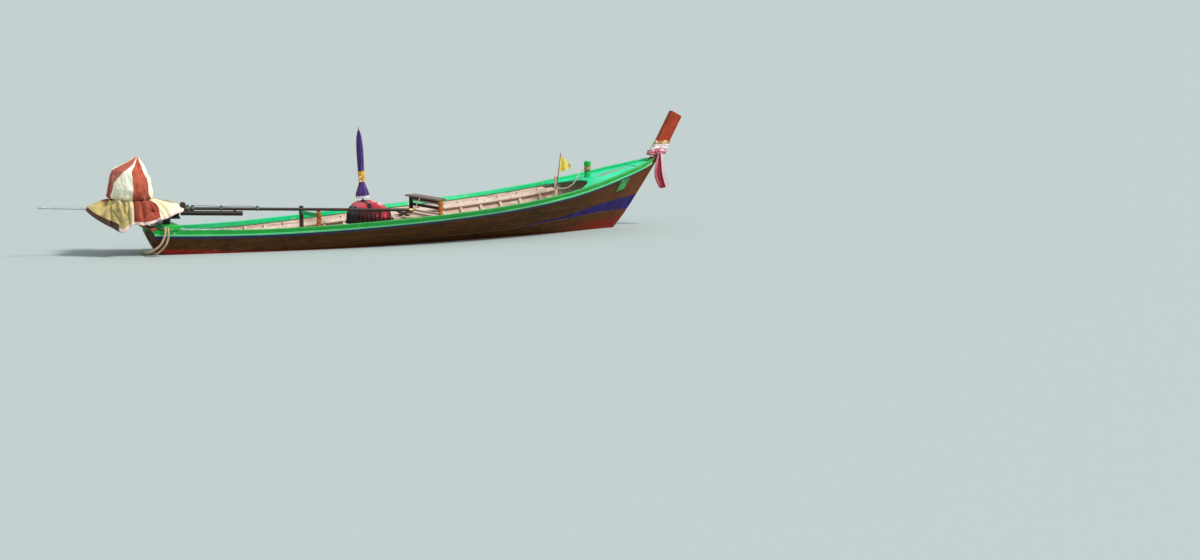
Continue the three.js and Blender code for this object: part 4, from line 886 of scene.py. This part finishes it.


# Cream and red gores, widths as parts of a turn; painted shade darkens the red low down, yellows the cream
# low on its gore and turns the aft skirt's cream olive, a painted shadow line runs along the middle seam,
# and the hem is pale or dark
def coverPanels(tree, base):
    u, v = laidPlace(tree)[:2]
    seams = [curveOf(tree, v, 0, 1, points) for points in (aftSeam, middleSeam, foreSeam)]
    fromAft, fromMiddle, fromFore = (minus(tree, u, seam) for seam in seams)
    red = mixed(tree, dappled(tree, 0.12, 0.35, 0.65, 6.0), "#A63A1E", "#CE6440")
    # Painted shade: the red darker lower down, in blotches
    lowRedShade = times(tree, ramp(tree, v, 0.28, 0.60), dappled(tree, 0.2, 0.36, 0.56, 5.0))
    red = tinted(tree, red, lowRedShade, "#8E2E18", 0.65)
    # Painted shade: the cream yellower low on its gore, under the puff at the waist
    creamShadeLow = times(tree, ramp(tree, v, 0.56, 0.68), dappled(tree, 0.1, 0.35, 0.6))
    cream = tinted(tree, base, creamShadeLow, "#E6CE7C", 0.6)
    colour = mixed(tree, within(tree, u, 0.085, 0.205, 0.0008), cream, red)
    colour = tinted(tree, colour, within(tree, u, 0.34, 0.454, 0.0008), red)
    aftRed = times(tree, ramp(tree, u, 0.4755, 0.4765), ramp(tree, fromAft, 0.0005, -0.0005))
    colour = tinted(tree, colour, aftRed, red)
    foreRed = times(tree, ramp(tree, fromMiddle, -0.0005, 0.0005), ramp(tree, fromFore, 0.0005, -0.0005))
    colour = tinted(tree, colour, foreRed, red)
    # Painted shade: the cream of the aft skirt turned olive
    skirtShade = times(tree, ramp(tree, v, 0.66, 0.78), ramp(tree, u, 0.75, 0.70))
    skirtShade = times(tree, skirtShade, inverse(tree, math2(tree, "MAXIMUM", aftRed, foreRed)))
    oliveShade = mixed(tree, dappled(tree, 0.16, 0.4, 0.62, 5.0), "#C8AE54", "#8E742A")
    colour = tinted(tree, colour, skirtShade, oliveShade, 0.85)
    colour = tinted(tree, colour, dappled(tree, 0.3, 0.55, 0.8, 5.0), "#E0C488", 0.25)
    # Painted shadow: a thin dark line along the middle seam
    colour = tinted(tree, colour, within(tree, fromMiddle, -0.0022, 0.0022, 0.0006), "#6E2414", 0.8)
    colour = tinted(tree, colour, ramp(tree, v, 0.9765, 0.978), "#F0CFC4")
    brown = times(tree, within(tree, u, 0.475, 0.63, 0.004), ramp(tree, v, 0.953, 0.955))
    return tinted(tree, colour, brown, "#42261A")


coverCloth = cloth("coverCanvas", "#FFF8E0", "#FFF8E0", stripes=coverPanels)
coverGrid = mapped(coverValues["columns"], coverValues["rows"], coverPoint, True)
engineCover = finished("engine_cover_cloth", coverGrid, coverCloth, "motor")
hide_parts("engine_cover")
print("engine cover made, square metres", spread(engineCover.data))
thicken(engineCover, coverValues["thickness"])


# Red cover: a loose sheet heaped over the box and the gear on its lid, its hem below the lid
boxValues = {
    "middle": (-0.6, -0.0225), "half": (0.312, 0.274), "lid": 0.5615, "rise": 0.172, "hem": 0.235,
    "edge": 0.70, "heap": 0.032, "roundAft": 2.6, "roundFore": 1.9, "roundSides": 7, "foreSlope": 0.3,
    "uneven": 0.3, "pleats": 24, "flare": 0.006, "pleatDepth": 0.013, "crease": 0.010, "squares": 150,
    "thickness": 0.002,
}


def boxCoverPoint(u, v):
    b = boxValues
    s, t = 2 * u - 1, 2 * v - 1
    inS, inT = (max(-1.0, min(1.0, k / b["edge"])) for k in (s, t))
    hem = max(0.0, max(abs(s), abs(t)) - b["edge"]) / (1 - b["edge"])
    lengthwise = 1 - abs(inS) ** (b["roundAft"] if inS < 0 else b["roundFore"])
    crown = max(0.0, lengthwise) ** 0.5 * max(0.0, 1 - abs(inT) ** b["roundSides"]) ** 0.35
    slope = 1 - b["foreSlope"] * max(0.0, inS - 0.3)
    z = b["lid"] + b["rise"] * crown * slope
    folds = crumple(1.7 * s + 0.5 * t, 1.9 * t, 0, 4) - 0.65
    folds += 0.5 * (crumple(4 * s, 4 * t, 0, 9) - 0.65) + 0.25 * soft(13 * s, 13 * t, 0, 6)
    z += b["heap"] * folds * (1 - hem) * min(1.0, (z - b["lid"]) / 0.06)
    z -= b["hem"] * hem * (1 + b["uneven"] * soft(4 * s, 4 * t, 3))
    pleat = math.sin(b["pleats"] * (inS - inT) + 3 * soft(3 * s, 3 * t, 1))
    flare = b["flare"] + b["pleatDepth"] * pleat + b["crease"] * crumple(4 * s, 4 * t, 3 * hem, 2)
    flare *= min(1.0, 2.5 * hem)
    x = b["middle"][0] + inS * b["half"][0] + math.copysign(flare, s) * (abs(s) > b["edge"])
    y = b["middle"][1] + inT * b["half"][1] + math.copysign(flare, t) * (abs(t) > b["edge"])
    return Vector((x, y, z))


# Pale pink painted highlight on the crest forward; black in the folds below the lid, by the umbrella and at
# the aft end
def boxCoverZones(tree, base):
    x, y, z = objectPlace(tree)[:3]
    fold = blotches(tree, 0.11, 5.0)
    # Painted highlight: pale pink on the crest forward
    crestHighlight = times(tree, within(tree, x, -0.50, -0.30, 0.05), ramp(tree, z, 0.66, 0.70))
    colour = tinted(tree, base, times(tree, crestHighlight, ramp(tree, fold, 0.42, 0.56)), "#F6C8CC")
    # A black band across the cover below the umbrella
    darkBandByUmbrella = times(tree, within(tree, x, -0.735, -0.655, 0.012), ramp(tree, z, 0.58, 0.62))
    colour = tinted(tree, colour, darkBandByUmbrella, "#1E0A10")
    colour = tinted(tree, colour, ramp(tree, x, -0.865, -0.885), "#180A0C")
    sunny = times(tree, within(tree, x, -0.46, -0.34, 0.02), within(tree, z, 0.45, 0.56, 0.02))
    shade = times(tree, ramp(tree, z, 0.63, 0.58), ramp(tree, fold, 0.72, 0.60))
    return tinted(tree, colour, times(tree, shade, inverse(tree, sunny)), "#1A060A", 0.92)


heapCloth = cloth("heapedRedCloth", "#A81C30", "#E04450", stripes=boxCoverZones)
boxGrid = mapped(boxValues["squares"], boxValues["squares"], boxCoverPoint)
boxSheet = finished("box_cover_cloth", boxGrid, heapCloth, "hull")
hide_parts("box_cover")
print("box cover made, square metres", spread(boxSheet.data))
thicken(boxSheet, boxValues["thickness"])

# Umbrella: one canopy wound round its pole in eight pleats, as it furls, and a yellow tie with a bow
umbrellaValues = {
    "columns": 720, "rows": 64, "top": 1.322, "length": 1.224, "pleats": 8, "rib": 1.225, "gore": 0.765,
    "innerRadius": 0.017, "twist": 1.1, "hemHang": 0.02, "hemShare": 0.1,
}
# Columns: height above the foot, radius of the furled cloth
furl = [
    (0.098, 0.134), (0.150, 0.132), (0.215, 0.112), (0.345, 0.062), (0.420, 0.047), (0.520, 0.056),
    (0.760, 0.066), (1.000, 0.062), (1.210, 0.046), (1.322, 0.019),
]


def canopyPoint(u, v):
    c = umbrellaValues
    z = c["top"] - c["length"] * v
    radius = between(furl, z, 1)
    inner = min(c["innerRadius"], 0.9 * radius)
    turn = max(0.9, c["gore"] * c["rib"] * v / (inner + radius))
    pleat = min(c["pleats"] - 1, int(u * c["pleats"]))
    w = u * c["pleats"] - pleat
    step = 2 * math.pi / c["pleats"]
    base = step / turn
    if w < 0.5:
        share, drop = 2 * w, 0.0
    else:
        back = 2 * w - 1
        share, drop = 1 - back * (1 - base), back ** 0.5
    r = inner + (radius - inner) * (share - drop * base)
    angle = pleat * step - turn * (1 - share) + c["twist"] * z
    scallop = math.sin(math.pi * min(1.0, share)) * (0.6 + soft(pleat, 0, 0, 2))
    hang = c["hemHang"] * max(0.0, v - 1 + c["hemShare"]) / c["hemShare"] * scallop
    return umbrellaFrame @ Vector((r * math.cos(angle), r * math.sin(angle), z + hang))


def canopyHem(tree, base):  # a pale hem
    return tinted(tree, base, ramp(tree, laidPlace(tree)[1], 0.966, 0.968), "#F2ECF4")


umbrellaCloth = cloth("umbrellaNylon", "#300C56", "#58288E", sheen=0.5, stripes=canopyHem)
canopyGrid = mapped(umbrellaValues["columns"], umbrellaValues["rows"], canopyPoint, True)
canopy = finished("umbrella_canopy_cloth", canopyGrid, umbrellaCloth, "hull")
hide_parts("umbrella_canopy")


# The tie round it: heights above the foot, sizes in metres, the side of the bow in degrees
tieValues = {
    "low": 0.386, "high": 0.589, "off": 0.0085, "gather": 0.004, "gathers": 60, "uneven": 0.002,
    "bowAngle": -105, "loop": 0.062, "loopOut": 0.020, "bowOff": 0.022, "pinched": 0.014, "wide": 0.026,
    "droop": 0.018, "tailLength": 0.095, "tailOff": 0.018, "tailWave": 0.006, "tailsApart": 0.006,
    "tailSpread": 0.030, "tailWidth": 0.024,
}
tieMiddle = (tieValues["low"] + tieValues["high"]) / 2


def tiePoint(u, v):
    t = tieValues
    z = t["low"] + (t["high"] - t["low"]) * v
    angle = 2 * math.pi * u
    a, b = math.cos(angle), math.sin(angle)
    gathers = t["gather"] * math.sin(t["gathers"] * v + 3 * a) + t["uneven"] * soft(2 * a, 2 * b, 12 * v)
    r = between(furl, z, 1) + t["off"] + gathers
    return umbrellaFrame @ Vector((r * a, r * b, z))


def atBow(out, side, z):  # a point in the umbrella's frame, turned to the side of the bow
    return umbrellaFrame @ (turned("Z", tieValues["bowAngle"]) @ Vector((out, side, z)))


def bowPoint(u, v):  # two loops: a ribbon that runs as a figure of eight, pinched in its middle
    t = tieValues
    turn = 2 * math.pi * u
    side = math.sin(turn)
    out = between(furl, tieMiddle, 1) + t["loopOut"] * math.sin(2 * turn) + t["bowOff"]
    across = (t["pinched"] + t["wide"] * abs(side)) * (v - 0.5)
    return atBow(out, t["loop"] * side, tieMiddle + across - t["droop"] * side ** 2)


def tailPoint(u, v):  # the bow's two ends, which hang from its knot
    t = tieValues
    side = 1 if u < 0.5 else -1
    across = (2 * u if u < 0.5 else 2 * u - 1) - 0.5
    z = tieMiddle - t["tailLength"] * v
    out = between(furl, z, 1) + t["tailOff"] + t["tailWave"] * math.sin(9 * v + side)
    return atBow(out, side * (t["tailsApart"] + t["tailSpread"] * v) + t["tailWidth"] * across, z)


def pennantFade(tree, base):  # bleached nearly white at the outer end
    return tinted(tree, base, ramp(tree, laidPlace(tree)[0], 0.55, 1.0), "#FFFADC", 0.8)


def tieSpots(tree, base):  # a few pale spots
    return tinted(tree, base, dappled(tree, 0.03, 0.57, 0.6, 3.0), "#FFF6E8")


yellowCloth = cloth("pennantCotton", "#F0C81C", "#FAF08C", stripes=pennantFade)
tieCloth = cloth("tieCotton", "#E8AC10", "#F8CC30", stripes=tieSpots)
tailGrid = mapped(16, 20, tailPoint)
joined = [f for f in tailGrid.faces if max(e.calc_length() for e in f.edges) > 0.02]  # between the two ends
bmesh.ops.delete(tailGrid, geom=joined, context="FACES")
tie, bow, bowEnds = (finished(name, grid, tieCloth, "hull") for name, grid in (
    ("umbrella_tie_cloth", mapped(64, 40, tiePoint, True)),
    ("umbrella_bow_cloth", mapped(64, 8, bowPoint, True)),
    ("umbrella_bow_ends_cloth", tailGrid),
))
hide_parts("umbrella_tie")
print("umbrella made, square metres", spread(canopy.data), spread(tie.data))

# Pennant: a yellow triangle that hangs in soft waves from its pole
pennantValues = {
    "low": 1.04, "high": 1.383, "length": 0.248, "wave": 0.016, "ripple": 0.006, "droop": 0.115,
    "tipRise": 0.03, "pole": (3.29, 0.295), "poleFoot": 0.76, "rake": 0.13, "poleRadius": 0.011,
}


def pennantPoint(u, v):
    p = pennantValues
    z = p["low"] + (p["high"] - p["low"]) * v
    tip = (p["low"] + p["high"]) / 2 + p["tipRise"]
    x = p["pole"][0] + (z - p["poleFoot"]) * p["rake"] + p["poleRadius"] + p["length"] * u
    wave = p["wave"] * min(1.0, 4 * u) * math.sin(9 * u + 3 * v) + p["ripple"] * u * math.sin(21 * u - 4 * v)
    return Vector((x, p["pole"][1] + wave, z + (tip - z) * u - p["droop"] * u ** 1.6))


pennant = finished("pennant_cloth", mapped(48, 40, pennantPoint), yellowCloth, "hull")
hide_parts("pennant")

# Cloths tied to the prow: a gathered wrap with a knot, flowers above it, three hanging strips to starboard
prowValues = {
    "low": 1.347, "high": 1.558, "halfDepth": 0.1336, "halfWidth": 0.066, "middleAt": (5.356, 1.56),
    "rake": 0.5535, "corner": 7, "wrapOut": 0.0165, "fold": 0.011, "fineFold": 0.006, "lump": 0.008,
    "roll": 0.012, "bundleAft": 0.020, "knotAt": (5.235, -0.117, 1.425), "knotSize": 0.030,
    "knotRadius": 0.021, "knotFolds": 0.004,
}


def roundPost(angle, z, out):  # a point on the post's rounded level section, out metres off its face
    p = prowValues
    c, s, n = math.cos(angle), math.sin(angle), p["corner"]
    depth, width = p["halfDepth"] + out, p["halfWidth"] + out
    reach = 1 / ((abs(c) / depth) ** n + (abs(s) / width) ** n) ** (1 / n)
    return Vector((p["middleAt"][0] + (z - p["middleAt"][1]) * p["rake"] + reach * c, reach * s, z))


def wrapPoint(u, v):
    p = prowValues
    angle = 2 * math.pi * u
    c, s = math.cos(angle), math.sin(angle)
    twist = 2.6 * math.cos(angle + 0.9) + 3.5 * soft(1.3 * c, 1.3 * s, 1.5 * v, 6)
    folds = p["fold"] * (abs(math.sin(8 * v + twist)) - 0.5) + p["fineFold"] * math.sin(21 * v - 1.4 * twist)
    lump = p["lump"] * (crumple(3 * c, 3 * s, 5 * v, 3) - 0.6) + p["roll"] * bell(v, 0.22, 0.16)
    aft = p["bundleAft"] * max(0.0, -c) * math.sin(math.pi * min(1.0, 0.2 + v)) ** 0.5
    return roundPost(angle, p["low"] + (p["high"] - p["low"]) * v, p["wrapOut"] + folds + lump + aft)


def wrapBands(tree, base):  # white above, pink below, with pink streaks in the white
    wavy = plus(tree, laidPlace(tree)[1], times(tree, blotches(tree, 0.07), 0.5))
    pink = mixed(tree, dappled(tree, 0.03, 0.4, 0.6), "#C04A5C", "#E48C98")
    streak = times(tree, ramp(tree, zigzag(tree, wavy, 0.12), 0.09, 0.105), 0.8)
    return tinted(tree, base, math2(tree, "MAXIMUM", ramp(tree, wavy, 0.72, 0.66), streak), pink)


def knotPoint(u, v):  # a loose knot of the wrap's ends, which bulges on the starboard side
    p = prowValues
    turn, around = 2 * math.pi * u, 2 * math.pi * v
    a, b = math.cos(2 * turn), math.sin(2 * turn)
    ring = Vector((a, 0.45 * math.sin(3 * turn), b + 0.3 * math.cos(3 * turn)))
    fat = p["knotRadius"] + p["knotFolds"] * math.sin(4 * around + 6 * turn)
    local = Vector((a * math.cos(around), math.sin(around), b * math.cos(around))) * fat
    return Vector(p["knotAt"]) + ring * p["knotSize"] + local


wrapCloth = cloth("prowWrapCotton", "#ECE0E0", "#F8F0F0", stripes=wrapBands)
pinkCloth = cloth("pinkCotton", "#C44E68", "#E48CA0")
wrapGrid, knotGrid = mapped(160, 70, wrapPoint, True), mapped(96, 24, knotPoint, True)
wrap = finished("prow_wrap_cloth", wrapGrid, wrapCloth, "hull")
knot = finished("prow_knot_cloth", knotGrid, pinkCloth, "hull")
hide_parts("prow_wrap")
print("prow wrap made, square metres", spread(wrap.data))


# Garland: flower heads threaded in rows round the post, in bunches
garlandValues = {
    "rows": 3, "heads": 26, "low": 1.5745, "rowRise": 0.0165, "out": 0.0145, "bunches": 4, "sag": 0.014,
    "uneven": 0.006, "smallest": 0.0075, "bunched": 0.0085, "varied": 0.004,
}


def flowerGarland():
    g = garlandValues
    bm = bmesh.new()
    for row in range(g["rows"]):
        for i in range(g["heads"]):
            angle = 2 * math.pi * (i + 0.5 * row) / g["heads"]
            bunch = 0.5 + 0.5 * math.sin(g["bunches"] * angle + 0.6)
            place = roundPost(angle, g["low"] + g["rowRise"] * row, g["out"])
            place.z += g["uneven"] * soft(i, row, 0, 3) - g["sag"] * (1 - bunch)
            size = g["smallest"] + g["bunched"] * bunch + g["varied"] * soft(1.7 * i, 2.3 * row, 0, 8)
            centre = Matrix.Translation(place)
            made = bmesh.ops.create_icosphere(bm, subdivisions=3, radius=size, matrix=centre)["verts"]
            for vert in made:
                way = (vert.co - place) / size
                petals = abs(math.sin(6 * math.atan2(way.y, way.x) + i)) * abs(math.sin(7 * way.z + i))
                vert.co = place + way * size * (0.86 + 0.34 * petals + 0.1 * soft(*(60 * vert.co), 5))
    for face in bm.faces:
        face.smooth = True
    return bm


# Marigold petals: orange and pale cream yellow in small blotches, quite matt
petals, petalTree, petalShader = newMaterial("marigoldPetals")
petalColour = mixed(petalTree, dappled(petalTree, 0.02, 0.35, 0.65), "#E8B85C", "#FFF0C4")
fill(petalTree, petalShader, {"Base Color": petalColour, "Roughness": 0.85})
garland = finished("prow_garland_flowers", flowerGarland(), petals, "hull")
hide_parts("prow_garland")

# Strips: name, edges in X at the top, middle and bottom, height of the bottom, way off, finish, flat width
sashValues = {
    "top": 1.385, "side": -0.104, "slack": 0.02, "folds": 3, "foldAtTop": 0.004, "foldGrows": 0.006,
    "ripple": 0.004, "hemWave": 0.012, "middleAt": 0.62,
}
maroonSatin = cloth("maroonSatin", "#A00C28", "#C01C3C", 0.4)
pinkSatin = cloth("pinkSatin", "#D86C80", "#F0B4BE", 0.5)
whiteSatin = cloth("whiteSatin", "#F4DCE0", "#FFF4F6", 0.5)
sashStrips = [
    ("sash_maroon", (5.238, 5.310), (5.166, 5.350), (5.266, 5.420), 0.722, 0.0, maroonSatin, 0.20),
    ("sash_pink", (5.228, 5.262), (5.152, 5.200), (5.246, 5.290), 0.768, 0.018, pinkSatin, 0.085),
    ("sash_white", (5.280, 5.332), (5.316, 5.392), (5.388, 5.462), 0.740, 0.030, whiteSatin, 0.10),
]
for name, top, middle, bottom, low, off, material, flatWidth in sashStrips:
    fall = sashValues["top"] - low

    def stripPoint(u, v):
        s = sashValues
        rows = [(0.0, *top), (s["middleAt"], *middle), (1.0, *bottom)]
        left, right = between(rows, v, 1), between(rows, v, 2)
        fold = math.sin(2 * math.pi * s["folds"] * u + 2 * v + off * 90)
        fold *= s["foldAtTop"] + s["foldGrows"] * v
        y = s["side"] - off + fold + s["ripple"] * soft(3 * u, 6 * v, off, 7)
        z = s["top"] - fall * v - s["hemWave"] * v * math.sin(4 * u + off * 300)
        return Vector((left + (right - left) * u, y, z))

    strip = finished(name, mapped(40, 100, stripPoint), material, "hull")
    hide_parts("prow_sash")
print("prow cloths made")

# Turns of rope round the bollard's neck
turnsValues = {
    "middle": (3.905, 0.23), "low": 1.0864, "high": 1.1564, "turns": 4.0, "radius": 0.0585,
    "ropeRadius": 0.0095, "pitch": 0.04, "points": 240,
}


def turnPoint(share):
    t = turnsValues
    angle = 2 * math.pi * t["turns"] * share
    around = Vector((t["radius"] * math.cos(angle), t["radius"] * math.sin(angle), 0))
    return Vector((*t["middle"], t["low"] + (t["high"] - t["low"]) * share)) + around


turns = [turnPoint(i / turnsValues["points"]) for i in range(turnsValues["points"] + 1)]
turnsFibre = laidRope("bollardRopeFibre", "#D2B284", "#7A5A34", turnsValues["pitch"])
turnsLaid = sweep(turns, turnsValues["ropeRadius"], turnsValues["pitch"])[0]
turnsRope = finished("bollard_rope_laid", turnsLaid, turnsFibre, "hull")
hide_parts("bollard_rope")
print("bollard rope wound")

# Stage: pale floor at the waterline and soft light
stageValues = {
    "floor": "#B4BEBA", "floorRoughness": 0.9, "floorSize": 1400.0, "hole": (-4.475, 4.163), "stations": 40,
    "sun": 3.0, "sunSoftness": 14.0, "sunTurn": (38.0, 0.0, 42.0), "sky": "#DDE6EE", "skyStrength": 0.6,
}


# The floor is the water, so it ends inside the planking: half breadths of the hull at mid plank
def waterline():
    bm = bmesh.new()
    for nodeName in ("bottom_planking_port", "side_planking_port"):
        bm.from_mesh(nodes[nodeName].data)
    parts = bm.verts[:] + bm.edges[:] + bm.faces[:]
    cut = bmesh.ops.bisect_plane(bm, geom=parts, plane_co=(0, 0, 0), plane_no=(0, 0, 1))["geom_cut"]
    edges = [[v.co.copy() for v in e.verts] for e in cut if isinstance(e, bmesh.types.BMEdge)]
    bm.free()
    aft, fore = stageValues["hole"]
    points = []
    for i in range(stageValues["stations"]):
        x = aft + (fore - aft) * i / (stageValues["stations"] - 1)
        crossings = [a.y + (b.y - a.y) * (x - a.x) / (b.x - a.x) for a, b in edges
                     if min(a.x, b.x) <= x < max(a.x, b.x)]
        points.append((x, (min(crossings) + max(crossings)) / 2))
    return points


def floorGrid():
    bm = bmesh.new()
    bmesh.ops.create_grid(bm, x_segments=1, y_segments=1, size=stageValues["floorSize"] / 2)
    bmesh.ops.delete(bm, geom=bm.faces[:], context="FACES_ONLY")
    port = waterline()
    shore = [bm.verts.new((x, y, 0)) for x, y in port + [(x, -y) for x, y in reversed(port)]]
    for here, there in zip(shore, shore[1:] + shore[:1]):
        bm.edges.new((here, there))
    bmesh.ops.triangle_fill(bm, use_beauty=True, use_dissolve=False, edges=bm.edges[:], normal=(0, 0, 1))
    return bm


floorMaterial, floorTree, floorShader = newMaterial("studioFloor")
floorInputs = {"Base Color": linear(stageValues["floor"]), "Roughness": stageValues["floorRoughness"]}
fill(floorTree, floorShader, floorInputs)
studioFloor = bpy.data.objects.new("studio_floor", toMesh(floorGrid(), "studio_floor"))
studioFloor.data.materials.append(floorMaterial)
scene.collection.objects.link(studioFloor)
sunData = bpy.data.lights.new("sun", "SUN")
sunData.energy = stageValues["sun"]
sunData.angle = math.radians(stageValues["sunSoftness"])
sun = bpy.data.objects.new("sun", sunData)
sun.rotation_euler = [math.radians(a) for a in stageValues["sunTurn"]]
scene.collection.objects.link(sun)
world = bpy.data.worlds.new("studio")
world.use_nodes = True
sky = {"Color": linear(stageValues["sky"]), "Strength": stageValues["skyStrength"]}
fill(world.node_tree, world.node_tree.nodes["Background"], sky)
scene.world = world
print("stage set")
